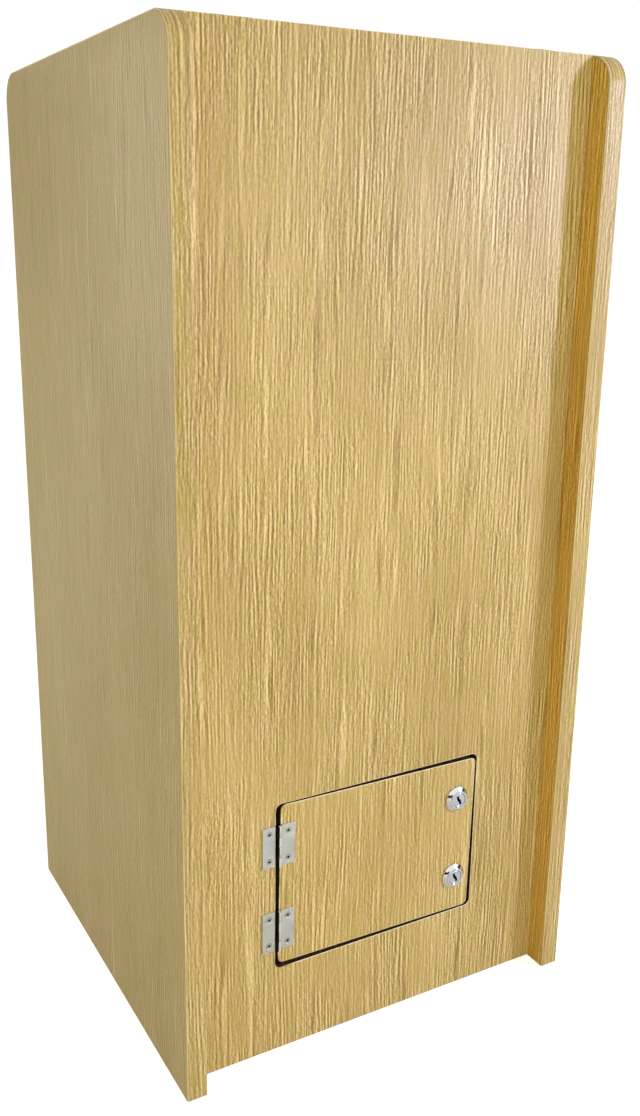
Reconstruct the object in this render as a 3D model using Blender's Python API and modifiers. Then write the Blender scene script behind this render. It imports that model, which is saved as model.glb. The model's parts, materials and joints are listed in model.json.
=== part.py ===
"""Coin cabinet: a free-standing board cabinet with a small inset door on two hinges, and two cam locks.

The origin is at the middle of the cabinet's base. X runs to the right along the front, Y runs back into the
cabinet and Z runs up. Lengths are in metres.
"""

import math

import bmesh
import bpy
from mathutils import Matrix, Vector

MM = 0.001

# Cabinet
WIDTH = 400 * MM
DEPTH = 400 * MM
HEIGHT = 845 * MM
BOARD = 18 * MM
RECESS = 21 * MM  # front and back panels stand this far inside the side panels' edges
CORNER_RADIUS = 25 * MM
BAND = 1.0 * MM
BAND_LIFT = 0.5 * MM  # the band stops just above the ground
GAP = 0.3 * MM  # clearance between pieces that touch
FLOOR_CLEARANCE = 1.0 * MM  # front and back panels stop just above the ground
FLOOR_TOP = 91 * MM
BATTEN = 18 * MM

# Door opening in the front panel, and the door that hangs a little crooked in it
OPENING_LEFT = -107 * MM
OPENING_RIGHT = 103 * MM
OPENING_BOTTOM = 83.5 * MM
OPENING_TOP = 241.5 * MM
OPENING_RADIUS = 6 * MM
DOOR_WIDTH = 203.4 * MM
DOOR_HEIGHT = 152.2 * MM
DOOR_RADIUS = 5 * MM
DOOR_OFFSET_X = 0.6 * MM
DOOR_OFFSET_Z = 0.3 * MM
DOOR_SAG = math.radians(0.8)

# Hinges
HINGE_AXIS_X = -104.6 * MM
HINGE_HEIGHTS = {"upper": 203.7 * MM, "lower": 122.2 * MM}
HINGE_LENGTH = 38 * MM
LEAF_WIDTH = 15.4 * MM
LEAF_THICKNESS = 1.2 * MM
KNUCKLE_RADIUS = 2.2 * MM
KNUCKLES = 4
KNUCKLE_CLEARANCE = 0.7 * MM
ROLL_SINK = 0.05 * MM  # how far the rolled knuckles reach behind the leaves
PIN_RADIUS = 1.0 * MM
PIN_CLEARANCE = 0.2 * MM
PIN_EXTRA = 1.0 * MM  # how much longer the pin is than its knuckles
PIN_EASE = 0.25 * MM
HINGE_SCREW_X = 9.0 * MM
HINGE_SCREW_Z = 12.7 * MM

# Countersunk wood screws
SCREW_HEAD_RADIUS = 2.5 * MM
SCREW_HEAD_HEIGHT = 1.1 * MM
SCREW_SHANK_RADIUS = 1.4 * MM
SCREW_LENGTH = 12 * MM
SCREW_TIP = 2 * MM
SEAT_LIFT = 0.6 * MM  # a screw seat is cut from a little above the surface
PILOT_EXTRA = 1 * MM

# Cam locks, with distances measured back from the door's front face
LOCK_X = 81.5 * MM
LOCK_HEIGHTS = {"upper": 200.5 * MM, "lower": 120.5 * MM}
TONGUE_DIRECTIONS = {"upper": -1, "lower": 1}  # the tongues rest pointing at each other
FLANGE_RADIUS = 12.2 * MM
FLANGE_EDGE = 1.2 * MM
BEZEL_RADIUS = 8.9 * MM
BEZEL_PROUD = 4.6 * MM
BEZEL_SIDE = 1.1 * MM  # height of the bezel's upright side
BEZEL_EASE = 0.5 * MM
BORE_EASE = 0.4 * MM
FLANGE_EASE = (0.3 * MM, 0.6 * MM)  # across and up
BARREL_RADIUS = 9.4 * MM
BARREL_END = 23 * MM
PLUG_SHOULDER = 23.4 * MM  # the cam sits on the square tail behind this shoulder
PLUG_RADIUS = 6.7 * MM
PLUG_PROUD = 4.2 * MM
PLUG_CLEARANCE = 0.3 * MM
TAIL_WIDTH = 6.6 * MM
TAIL_ROOT = 2 * MM  # how far the square tail runs into the plug
TAIL_SHORT = 0.1 * MM  # the tail ends this far inside the cam's back
TAPPING_DEPTH = 7 * MM
KEYWAY = (1.5 * MM, 8 * MM, 9 * MM)  # width, height and depth
KEYWAY_TURN = math.radians(16)
NUT_RADIUS = 13.6 * MM
NUT_THICKNESS = 3.4 * MM
CAM_THICKNESS = 2 * MM
CAM_WIDTH = 16 * MM
CAM_LENGTH = 36 * MM  # from the lock's axis to the tip
CAM_BEND_START = 13 * MM
CAM_BEND_END = 18 * MM
CAM_SET = 4.7 * MM  # the crank brings the tongue this far forward
CAM_FOLD = 0.6 * MM  # keeps the crank's sheet one thickness at its folds
CAM_CORNER = 5 * MM
CAM_TRIM = 0.02 * MM
CAM_SCREW_HEAD = 4.2 * MM
CAM_SCREW_SHANK = 1.8 * MM
CAM_SCREW_HEIGHT = 2.4 * MM
CAM_SCREW_EASE = 0.8 * MM
CAM_SCREW_LENGTH = 6 * MM

# Coin path and cash box
SLOT_X = -2 * MM
SLOT_Y = -15 * MM
SLOT_LENGTH = 36 * MM
SLOT_WIDTH = 5 * MM
SLOT_PLATE = (82 * MM, 30 * MM, 2 * MM)
SLOT_PLATE_CORNER = 3 * MM
SLOT_SCREW_X = 32 * MM
CHUTE_INSIDE = (46 * MM, 16 * MM)
CHUTE_WALL = 1.2 * MM
CHUTE_FLANGE = (98 * MM, 40 * MM)
CHUTE_SCREW_X = 41 * MM
CHUTE_BOTTOM = 228 * MM
BOX_SIZE = (186 * MM, 250 * MM, 114 * MM)
BOX_SHEET = 1.2 * MM
BOX_CORNER = 4 * MM
BOX_CLEARANCE = 2 * MM
REAR_STOP_LENGTH = 80 * MM
RUNNER = 12 * MM
STOP_LAP = 8 * MM  # how far the stop strip covers the door's top edge
STOP_START = 20 * MM  # from the opening's left edge
STOP_LOCK_ROOM = 25 * MM  # from the locks' axis

# Worked out from the dimensions above
FRONT = -DEPTH / 2
FACE = FRONT + RECESS
FACE_BACK = FACE + BOARD
REAR_FACE = DEPTH / 2 - RECESS
REAR_INSIDE = REAR_FACE - BOARD
INSIDE_X = WIDTH / 2 - BOARD
LEAF_BACK = FACE - GAP
HINGE_AXIS_Y = LEAF_BACK - KNUCKLE_RADIUS + ROLL_SINK
TOP_UNDERSIDE = HEIGHT - BOARD

ROUND_END_MARGIN = 0.05 * MM  # keeps a short straight side between two round ends
SHARP_ANGLE = math.radians(35)
ARC_STEPS = 8
ROUND_STEPS = 32
SMALL_STEPS = 16

FACE_FORWARD = (math.radians(90), 0, 0)  # an outline's X and Y become world X and Z
FACE_SIDEWAYS = (math.radians(90), 0, math.radians(90))  # they become world Y and Z
UPRIGHT = (0, 0, 0)

parts = None
cutters = None


# Scene and materials

def start_scene():
    """Empty the scene and make one collection for the parts and one for the cutters."""
    global parts, cutters
    for old in list(bpy.data.objects):
        bpy.data.objects.remove(old, do_unlink=True)
    parts = bpy.data.collections.new("coin_cabinet")
    cutters = bpy.data.collections.new("cutters")
    for collection in (parts, cutters):
        bpy.context.scene.collection.children.link(collection)


def material(name, colour, roughness, metallic=0.0):
    """A Principled BSDF material, made once for each name."""
    found = bpy.data.materials.get(name)
    if found:
        return found
    made = bpy.data.materials.new(name)
    made.use_nodes = True
    shader = made.node_tree.nodes["Principled BSDF"]
    shader.inputs["Base Color"].default_value = (*colour, 1)
    shader.inputs["Roughness"].default_value = roughness
    shader.inputs["Metallic"].default_value = metallic
    return made


def oak_laminate():
    return material("oak_laminate", (0.62, 0.45, 0.23), 0.5)


def oak_band():
    return material("oak_band", (0.66, 0.50, 0.28), 0.45)


def softwood():
    return material("softwood", (0.70, 0.55, 0.34), 0.7)


def plated_steel():
    return material("plated_steel", (0.60, 0.60, 0.58), 0.35, 1.0)


def chrome():
    return material("chrome", (0.80, 0.80, 0.82), 0.08, 1.0)


def zinc_steel():
    return material("zinc_steel", (0.55, 0.56, 0.58), 0.4, 1.0)


# Shape helpers

def add_object(name, mesh, finish=None):
    """Put a mesh in the scene, among the parts if it has a finish and among the cutters if not."""
    made = bpy.data.objects.new(name, mesh)
    if finish:
        mesh.materials.append(finish)
        parts.objects.link(made)
    else:
        made.display_type = "WIRE"
        made.hide_render = True
        cutters.objects.link(made)
    return made


def box(name, low, high, finish=None):
    """A box between two world corners, with its object at its centre."""
    low = Vector(low)
    high = Vector(high)
    shape = bmesh.new()
    bmesh.ops.create_cube(shape, size=1, matrix=Matrix.Diagonal((*(high - low), 1)))
    mesh = bpy.data.meshes.new(name)
    shape.to_mesh(mesh)
    shape.free()
    made = add_object(name, mesh, finish)
    made.location = (low + high) / 2
    return made


def cylinder(name, radius, length, centre, rotation=UPRIGHT, steps=ROUND_STEPS, finish=None):
    """A cylinder along its own Z."""
    shape = bmesh.new()
    bmesh.ops.create_cone(
        shape,
        cap_ends=True,
        segments=steps,
        radius1=radius,
        radius2=radius,
        depth=length,
    )
    mesh = bpy.data.meshes.new(name)
    shape.to_mesh(mesh)
    shape.free()
    made = add_object(name, mesh, finish)
    made.location = centre
    made.rotation_euler = rotation
    return made


def turned_face(angle):
    """The rotation of an outline that faces forward and is turned clockwise as seen from the front."""
    turn = Matrix.Rotation(angle, 4, "Y") @ Matrix.Rotation(math.radians(90), 4, "X")
    return turn.to_euler()


def arc(centre_x, centre_y, radius, start, end, steps=ARC_STEPS):
    """Points along an arc, both ends included, with angles in degrees."""
    angles = [math.radians(start + (end - start) * step / steps) for step in range(steps + 1)]
    return [(centre_x + radius * math.cos(a), centre_y + radius * math.sin(a)) for a in angles]


def rounded_rectangle(width, height, radius):
    """The outline of a rectangle about the origin, with round corners."""
    x = width / 2 - radius
    y = height / 2 - radius
    corners = [(x, -y, -90), (x, y, 0), (-x, y, 90), (-x, -y, 180)]
    return [point for cx, cy, start in corners for point in arc(cx, cy, radius, start, start + 90)]


def plate(name, outline, thickness, centre, rotation=UPRIGHT, finish=None):
    """A flat outline given a thickness: a filled 2D curve that is turned into a welded mesh."""
    curve = bpy.data.curves.new(name, "CURVE")
    curve.dimensions = "2D"
    curve.fill_mode = "BOTH"
    curve.extrude = thickness / 2
    spline = curve.splines.new("POLY")
    spline.points.add(len(outline) - 1)
    for point, (x, y) in zip(spline.points, outline):
        point.co = (x, y, 0, 1)
    spline.use_cyclic_u = True
    drawn = bpy.data.objects.new(name, curve)
    bpy.context.scene.collection.objects.link(drawn)
    drawn.location = centre
    drawn.rotation_euler = rotation
    bpy.context.view_layer.update()
    mesh = bpy.data.meshes.new_from_object(drawn.evaluated_get(bpy.context.evaluated_depsgraph_get()))
    place = drawn.matrix_world.copy()
    bpy.data.objects.remove(drawn, do_unlink=True)
    bpy.data.curves.remove(curve)
    weld(mesh)
    mesh.materials.clear()
    made = add_object(name, mesh, finish)
    made.matrix_world = place
    return made


def weld(mesh):
    """Join the loose caps of a mesh that came from a curve."""
    shape = bmesh.new()
    shape.from_mesh(mesh)
    bmesh.ops.remove_doubles(shape, verts=shape.verts, dist=0.001 * MM)
    bmesh.ops.recalc_face_normals(shape, faces=shape.faces)
    shape.to_mesh(mesh)
    shape.free()


def turned(name, profile, centre, rotation, steps=ROUND_STEPS, closed=False, finish=None):
    """A turned shape about its own Z, from (radius, height) points that run down its outer side."""
    mesh = bpy.data.meshes.new(name)
    edges = [(n, n + 1) for n in range(len(profile) - 1)]
    if closed:
        edges.append((len(profile) - 1, 0))
    mesh.from_pydata([(radius, 0, height) for radius, height in profile], edges, [])
    made = add_object(name, mesh, finish)
    made.location = centre
    made.rotation_euler = rotation
    screw = made.modifiers.new("turn", "SCREW")
    screw.steps = steps
    screw.render_steps = steps
    screw.use_merge_vertices = True
    screw.merge_threshold = 0.001 * MM
    screw.use_smooth_shade = False
    return made


def combine(target, other, operation):
    """Add, cut or intersect one object with another that stays behind as a cutter."""
    step = target.modifiers.new(operation.lower(), "BOOLEAN")
    step.operation = operation
    step.object = other
    step.solver = "EXACT"


def bevel(target, width, segments=1, angle=30):
    """Ease the edges of a piece."""
    eased = target.modifiers.new("eased", "BEVEL")
    eased.width = width
    eased.segments = segments
    eased.limit_method = "ANGLE"
    eased.angle_limit = math.radians(angle)


# Fixings

def wood_screw(name, head_centre, rotation, finish):
    """A countersunk wood screw, with its head's flat top at head_centre and facing its own +Z."""
    profile = [
        (0, 0),
        (SCREW_HEAD_RADIUS, 0),
        (SCREW_SHANK_RADIUS, -SCREW_HEAD_HEIGHT),
        (SCREW_SHANK_RADIUS, -SCREW_LENGTH + SCREW_TIP),
        (0, -SCREW_LENGTH),
    ]
    return turned(name, profile, head_centre, rotation, steps=SMALL_STEPS, finish=finish)


def screw_seat(name, head_centre, rotation):
    """A cutter for a wood screw's countersink and pilot hole, a little larger than the screw."""
    slope = (SCREW_HEAD_RADIUS - SCREW_SHANK_RADIUS) / SCREW_HEAD_HEIGHT
    radius = SCREW_SHANK_RADIUS + GAP
    profile = [
        (0, SEAT_LIFT),
        (SCREW_HEAD_RADIUS + GAP + slope * SEAT_LIFT, SEAT_LIFT),
        (radius, -SCREW_HEAD_HEIGHT),
        (radius, -SCREW_LENGTH - PILOT_EXTRA),
        (0, -SCREW_LENGTH - PILOT_EXTRA),
    ]
    return turned(name, profile, head_centre, rotation, steps=SMALL_STEPS)


# Carcass

def side_outline(radius, inset, bottom):
    """A side panel's front edge, round top corners and back edge, as a path from front to back."""
    front = FRONT + inset
    back = DEPTH / 2 - inset
    top = HEIGHT - inset
    path = [(front, bottom)]
    path += arc(front + radius, top - radius, radius, 180, 90)
    path += arc(back - radius, top - radius, radius, 90, 0)
    path.append((back, bottom))
    return path


def side_panel(side, sign):
    """A side panel and the edge band that runs up its front, over its top and down its back."""
    x = sign * (WIDTH / 2 - BOARD / 2)
    core_inset = BAND + GAP
    core = side_outline(CORNER_RADIUS - core_inset, core_inset, 0)
    plate(f"{side}_side_panel", core[::-1], BOARD, (x, 0, 0), FACE_SIDEWAYS, oak_laminate())
    outside = side_outline(CORNER_RADIUS, 0, BAND_LIFT)
    inside = side_outline(CORNER_RADIUS - BAND, BAND, BAND_LIFT)
    plate(f"{side}_edge_band", inside + outside[::-1], BOARD, (x, 0, 0), FACE_SIDEWAYS, oak_band())


def front_panel():
    """The front panel with its round-cornered door opening."""
    x = INSIDE_X - GAP
    panel = box("front_panel", (-x, FACE, FLOOR_CLEARANCE), (x, FACE_BACK, HEIGHT), oak_laminate())
    outline = rounded_rectangle(OPENING_RIGHT - OPENING_LEFT, OPENING_TOP - OPENING_BOTTOM, OPENING_RADIUS)
    centre = (
        (OPENING_LEFT + OPENING_RIGHT) / 2,
        (FACE + FACE_BACK) / 2,
        (OPENING_BOTTOM + OPENING_TOP) / 2,
    )
    combine(panel, plate("opening_cut", outline, 3 * BOARD, centre, FACE_FORWARD), "DIFFERENCE")
    return panel


def back_panel():
    x = INSIDE_X - GAP
    box("back_panel", (-x, REAR_INSIDE, FLOOR_CLEARANCE), (x, REAR_FACE, HEIGHT), oak_laminate())


def top_panel():
    """The top panel, with a hole for coins and a shallow pocket for the slot plate."""
    x = INSIDE_X - GAP
    low = (-x, FACE_BACK + GAP, TOP_UNDERSIDE)
    panel = box("top_panel", low, (x, REAR_INSIDE - GAP, HEIGHT), oak_laminate())
    half_x = CHUTE_INSIDE[0] / 2
    half_y = CHUTE_INSIDE[1] / 2
    hole = box(
        "coin_hole_cut",
        (SLOT_X - half_x, SLOT_Y - half_y, TOP_UNDERSIDE - BOARD),
        (SLOT_X + half_x, SLOT_Y + half_y, HEIGHT + BOARD),
    )
    combine(panel, hole, "DIFFERENCE")
    pocket_outline = rounded_rectangle(
        SLOT_PLATE[0] + 2 * GAP, SLOT_PLATE[1] + 2 * GAP, SLOT_PLATE_CORNER + GAP
    )
    pocket_depth = SLOT_PLATE[2] + GAP
    pocket = plate("slot_pocket_cut", pocket_outline, 2 * pocket_depth, (SLOT_X, SLOT_Y, HEIGHT))
    combine(panel, pocket, "DIFFERENCE")
    return panel


def floor_panel():
    """The floor of the cash compartment. Its front edge laps the door's lower edge and stops it."""
    x = INSIDE_X - GAP
    low = (-x, FACE_BACK + GAP, FLOOR_TOP - BOARD)
    box("floor_panel", low, (x, REAR_INSIDE - GAP, FLOOR_TOP), oak_laminate())


def battens():
    """Corner battens glued inside the carcass, and cleats under the floor panel."""
    outer = INSIDE_X - GAP
    inner = outer - BATTEN
    front = (FACE_BACK + GAP, FACE_BACK + GAP + BATTEN)
    back = (REAR_INSIDE - GAP - BATTEN, REAR_INSIDE - GAP)
    bottom = FLOOR_TOP + GAP
    top = TOP_UNDERSIDE - GAP
    for side, sign in (("left", -1), ("right", 1)):
        xs = sorted((sign * inner, sign * outer))
        for end, ys in (("front", front), ("back", back)):
            low = (xs[0], ys[0], bottom)
            box(f"{end}_{side}_batten", low, (xs[1], ys[1], top), softwood())
        cleat_top = FLOOR_TOP - BOARD - GAP
        low = (xs[0], front[0], cleat_top - BATTEN)
        box(f"floor_{side}_cleat", low, (xs[1], back[1], cleat_top), softwood())


def door_stop():
    """A strip glued behind the front panel that laps the top of the door."""
    low = (OPENING_LEFT + STOP_START, FACE_BACK + GAP, OPENING_TOP - STOP_LAP)
    high = (LOCK_X - STOP_LOCK_ROOM, FACE_BACK + GAP + BATTEN, OPENING_TOP - STOP_LAP + 2 * BATTEN)
    box("door_stop_strip", low, high, softwood())


# Door

def door_panel():
    """The door, cut from the same board, hung slightly turned in its opening."""
    centre = (
        (OPENING_LEFT + OPENING_RIGHT) / 2 + DOOR_OFFSET_X,
        (FACE + FACE_BACK) / 2,
        (OPENING_BOTTOM + OPENING_TOP) / 2 + DOOR_OFFSET_Z,
    )
    outline = rounded_rectangle(DOOR_WIDTH, DOOR_HEIGHT, DOOR_RADIUS)
    return plate("door_panel", outline, BOARD, centre, turned_face(DOOR_SAG), oak_laminate())


def leaf_outline(sign, own_knuckles):
    """A leaf's comb-shaped outline about the hinge's middle, with tabs that reach the pin's axis."""
    step = HINGE_LENGTH / KNUCKLES
    cut_back = KNUCKLE_RADIUS + KNUCKLE_CLEARANCE
    points = [(sign * LEAF_WIDTH, -HINGE_LENGTH / 2), (sign * LEAF_WIDTH, HINGE_LENGTH / 2)]
    for knuckle in reversed(range(KNUCKLES)):
        x = 0 if knuckle in own_knuckles else sign * cut_back
        inset = GAP / 2 if knuckle in own_knuckles else -GAP / 2
        top_inset = 0 if knuckle == KNUCKLES - 1 else inset
        bottom_inset = 0 if knuckle == 0 else inset
        points.append((x, -HINGE_LENGTH / 2 + (knuckle + 1) * step - top_inset))
        points.append((x, -HINGE_LENGTH / 2 + knuckle * step + bottom_inset))
    return points if sign < 0 else points[::-1]


def hinge_leaf(name, sign, own_knuckles, height):
    """One leaf of a butt hinge, with its knuckles rolled round the pin and two countersunk holes."""
    centre = (HINGE_AXIS_X, LEAF_BACK - LEAF_THICKNESS / 2, height)
    outline = leaf_outline(sign, own_knuckles)
    leaf = plate(name, outline, LEAF_THICKNESS, centre, FACE_FORWARD, plated_steel())
    step = HINGE_LENGTH / KNUCKLES
    for knuckle in own_knuckles:
        low = GAP / 2 if knuckle > 0 else 0
        high = GAP / 2 if knuckle < KNUCKLES - 1 else 0
        middle = height - HINGE_LENGTH / 2 + (knuckle + 0.5) * step + (low - high) / 2
        place = (HINGE_AXIS_X, HINGE_AXIS_Y, middle)
        length = step - low - high
        roll = cylinder(f"{name}_roll_{knuckle}", KNUCKLE_RADIUS, length, place, steps=SMALL_STEPS)
        combine(leaf, roll, "UNION")
    bore_radius = PIN_RADIUS + PIN_CLEARANCE
    place = (HINGE_AXIS_X, HINGE_AXIS_Y, height)
    bore = cylinder(f"{name}_bore", bore_radius, 2 * HINGE_LENGTH, place, steps=SMALL_STEPS)
    combine(leaf, bore, "DIFFERENCE")
    return leaf


def hinge(level, front, door):
    """A butt hinge screwed to the faces of the front panel and the door, with its pin between them."""
    height = HINGE_HEIGHTS[level]
    leaves = (("frame", -1, (1, 3), front), ("door", 1, (0, 2), door))
    for side, sign, own_knuckles, board in leaves:
        leaf = hinge_leaf(f"{level}_hinge_{side}_leaf", sign, own_knuckles, height)
        for place, direction in (("upper", 1), ("lower", -1)):
            head = (
                HINGE_AXIS_X + sign * HINGE_SCREW_X,
                LEAF_BACK - LEAF_THICKNESS,
                height + direction * HINGE_SCREW_Z,
            )
            name = f"{level}_hinge_{side}_{place}_screw"
            wood_screw(name, head, FACE_FORWARD, plated_steel())
            seat = screw_seat(f"{name}_seat", head, FACE_FORWARD)
            combine(leaf, seat, "DIFFERENCE")
            combine(board, seat, "DIFFERENCE")
    pin = cylinder(
        f"{level}_hinge_pin",
        PIN_RADIUS,
        HINGE_LENGTH + PIN_EXTRA,
        (HINGE_AXIS_X, HINGE_AXIS_Y, height),
        steps=SMALL_STEPS,
        finish=plated_steel(),
    )
    bevel(pin, PIN_EASE, angle=60)


# Cam locks

def lock_point(level, back):
    """A point on a lock's axis, at a distance back from the door's front face."""
    return (LOCK_X, FACE + back, LOCK_HEIGHTS[level])


def lock_barrel(level, door):
    """The lock's housing: a domed flange on the door's face and a threaded barrel through the door."""
    bore = PLUG_RADIUS + PLUG_CLEARANCE
    profile = [
        (bore, BEZEL_PROUD - BORE_EASE),
        (bore + BORE_EASE, BEZEL_PROUD),
        (BEZEL_RADIUS - BEZEL_EASE, BEZEL_PROUD),
        (BEZEL_RADIUS, BEZEL_PROUD - BEZEL_EASE),
        (BEZEL_RADIUS, BEZEL_PROUD - BEZEL_SIDE),
        (FLANGE_RADIUS - FLANGE_EASE[0], FLANGE_EDGE + FLANGE_EASE[1]),
        (FLANGE_RADIUS, FLANGE_EDGE),
        (FLANGE_RADIUS, GAP),
        (BARREL_RADIUS, GAP),
        (BARREL_RADIUS, -BARREL_END),
        (bore, -BARREL_END),
    ]
    name = f"{level}_lock_barrel"
    turned(name, profile, lock_point(level, 0), FACE_FORWARD, closed=True, finish=chrome())
    middle = lock_point(level, BOARD / 2)
    hole = cylinder(f"{name}_hole", BARREL_RADIUS + GAP, 3 * BOARD, middle, FACE_FORWARD)
    combine(door, hole, "DIFFERENCE")


def lock_nut(level):
    """The hexagonal nut that clamps the barrel to the door."""
    back = BOARD + GAP + NUT_THICKNESS / 2
    name = f"{level}_lock_nut"
    place = lock_point(level, back)
    nut = cylinder(name, NUT_RADIUS, NUT_THICKNESS, place, FACE_FORWARD, steps=6, finish=zinc_steel())
    hole_radius = BARREL_RADIUS + GAP
    combine(nut, cylinder(f"{name}_hole", hole_radius, BOARD, place, FACE_FORWARD), "DIFFERENCE")


def lock_plug(level):
    """The turning plug, with a keyway in its face, a square tail and a hole for the cam's screw."""
    name = f"{level}_lock_plug"
    tail_end = PLUG_SHOULDER + GAP + CAM_THICKNESS - TAIL_SHORT
    length = PLUG_PROUD + PLUG_SHOULDER
    place = lock_point(level, PLUG_SHOULDER - length / 2)
    plug = cylinder(name, PLUG_RADIUS, length, place, FACE_FORWARD, finish=chrome())
    half = TAIL_WIDTH / 2
    height = LOCK_HEIGHTS[level]
    tail = box(
        f"{name}_tail",
        (LOCK_X - half, FACE + PLUG_SHOULDER - TAIL_ROOT, height - half),
        (LOCK_X + half, FACE + tail_end, height + half),
    )
    combine(plug, tail, "UNION")
    slot_width, slot_height, slot_depth = KEYWAY
    outline = rounded_rectangle(slot_width, slot_height, slot_width / 2 - ROUND_END_MARGIN)
    mouth = lock_point(level, -PLUG_PROUD)
    slot = plate(f"{name}_keyway", outline, 2 * slot_depth, mouth, turned_face(-KEYWAY_TURN))
    combine(plug, slot, "DIFFERENCE")
    hole = cylinder(
        f"{name}_tapping",
        CAM_SCREW_SHANK + GAP,
        2 * TAPPING_DEPTH,
        lock_point(level, tail_end),
        FACE_FORWARD,
        steps=SMALL_STEPS,
    )
    combine(plug, hole, "DIFFERENCE")


def lock_cam(level):
    """The cranked tongue on the plug's tail. It rests clear of the front panel and turns behind it."""
    name = f"{level}_lock_cam"
    near = PLUG_SHOULDER + GAP
    far = near + CAM_THICKNESS
    lead = CAM_WIDTH / 2
    side_view = [
        (-lead, near),
        (CAM_BEND_START, near),
        (CAM_BEND_END, near - CAM_SET),
        (CAM_LENGTH, near - CAM_SET),
        (CAM_LENGTH, far - CAM_SET),
        (CAM_BEND_END + CAM_FOLD, far - CAM_SET),
        (CAM_BEND_START + CAM_FOLD, far),
        (-lead, far),
    ]
    direction = TONGUE_DIRECTIONS[level]
    outline = [(FACE + back, direction * reach) for reach, back in side_view]
    if direction > 0:
        outline = outline[::-1]
    place = (LOCK_X, 0, LOCK_HEIGHTS[level])
    cam = plate(name, outline, CAM_WIDTH, place, FACE_SIDEWAYS, zinc_steel())
    plan_length = CAM_LENGTH + lead
    middle = (
        LOCK_X,
        FACE + near,
        LOCK_HEIGHTS[level] + direction * (CAM_LENGTH - lead) / 2,
    )
    outline = rounded_rectangle(CAM_WIDTH - CAM_TRIM, plan_length - CAM_TRIM, CAM_CORNER)
    combine(cam, plate(f"{name}_plan", outline, 3 * BOARD, middle, FACE_FORWARD), "INTERSECT")
    half = TAIL_WIDTH / 2 + GAP
    hole = box(
        f"{name}_square",
        (LOCK_X - half, FACE + near - BOARD, LOCK_HEIGHTS[level] - half),
        (LOCK_X + half, FACE + far + BOARD, LOCK_HEIGHTS[level] + half),
    )
    combine(cam, hole, "DIFFERENCE")


def lock_cam_screw(level):
    """The screw that holds the cam on the plug's tail, with its head facing into the cabinet."""
    seat = PLUG_SHOULDER + 2 * GAP + CAM_THICKNESS
    profile = [
        (0, CAM_SCREW_HEIGHT),
        (CAM_SCREW_HEAD - CAM_SCREW_EASE, CAM_SCREW_HEIGHT),
        (CAM_SCREW_HEAD, CAM_SCREW_HEIGHT - CAM_SCREW_EASE),
        (CAM_SCREW_HEAD, 0),
        (CAM_SCREW_SHANK, 0),
        (CAM_SCREW_SHANK, -CAM_SCREW_LENGTH),
        (0, -CAM_SCREW_LENGTH),
    ]
    facing_back = (math.radians(-90), 0, 0)
    place = lock_point(level, seat)
    turned(f"{level}_lock_cam_screw", profile, place, facing_back, steps=SMALL_STEPS, finish=zinc_steel())


def cam_lock(level, door):
    lock_barrel(level, door)
    lock_nut(level)
    lock_plug(level)
    lock_cam(level)
    lock_cam_screw(level)


# Coin path and cash box

def slot_plate(top):
    """The metal plate let into the top panel, with the coin slot and its two screws."""
    outline = rounded_rectangle(SLOT_PLATE[0], SLOT_PLATE[1], SLOT_PLATE_CORNER)
    centre = (SLOT_X, SLOT_Y, HEIGHT - SLOT_PLATE[2] / 2)
    made = plate("coin_slot_plate", outline, SLOT_PLATE[2], centre, UPRIGHT, plated_steel())
    slot_outline = rounded_rectangle(SLOT_LENGTH, SLOT_WIDTH, SLOT_WIDTH / 2 - ROUND_END_MARGIN)
    combine(made, plate("coin_slot_cut", slot_outline, BOARD, centre), "DIFFERENCE")
    for side, sign in (("left", -1), ("right", 1)):
        head = (SLOT_X + sign * SLOT_SCREW_X, SLOT_Y, HEIGHT)
        name = f"coin_slot_{side}_screw"
        wood_screw(name, head, UPRIGHT, plated_steel())
        seat = screw_seat(f"{name}_seat", head, UPRIGHT)
        combine(made, seat, "DIFFERENCE")
        combine(top, seat, "DIFFERENCE")


def coin_chute(top):
    """The square tube that guides coins down to the cash box, hung from the top panel by a flange."""
    flange_top = TOP_UNDERSIDE - GAP
    outer_x = CHUTE_INSIDE[0] / 2 + CHUTE_WALL
    outer_y = CHUTE_INSIDE[1] / 2 + CHUTE_WALL
    chute = box(
        "coin_chute",
        (SLOT_X - outer_x, SLOT_Y - outer_y, CHUTE_BOTTOM),
        (SLOT_X + outer_x, SLOT_Y + outer_y, flange_top),
        zinc_steel(),
    )
    flange = box(
        "coin_chute_flange",
        (SLOT_X - CHUTE_FLANGE[0] / 2, SLOT_Y - CHUTE_FLANGE[1] / 2, flange_top - CHUTE_WALL),
        (SLOT_X + CHUTE_FLANGE[0] / 2, SLOT_Y + CHUTE_FLANGE[1] / 2, flange_top),
    )
    combine(chute, flange, "UNION")
    hollow = box(
        "coin_chute_hollow",
        (SLOT_X - CHUTE_INSIDE[0] / 2, SLOT_Y - CHUTE_INSIDE[1] / 2, CHUTE_BOTTOM - BOARD),
        (SLOT_X + CHUTE_INSIDE[0] / 2, SLOT_Y + CHUTE_INSIDE[1] / 2, HEIGHT),
    )
    combine(chute, hollow, "DIFFERENCE")
    upside_down = (math.radians(180), 0, 0)
    for side, sign in (("left", -1), ("right", 1)):
        head = (SLOT_X + sign * CHUTE_SCREW_X, SLOT_Y, flange_top - CHUTE_WALL)
        name = f"coin_chute_{side}_screw"
        wood_screw(name, head, upside_down, plated_steel())
        seat = screw_seat(f"{name}_seat", head, upside_down)
        combine(chute, seat, "DIFFERENCE")
        combine(top, seat, "DIFFERENCE")


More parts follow.
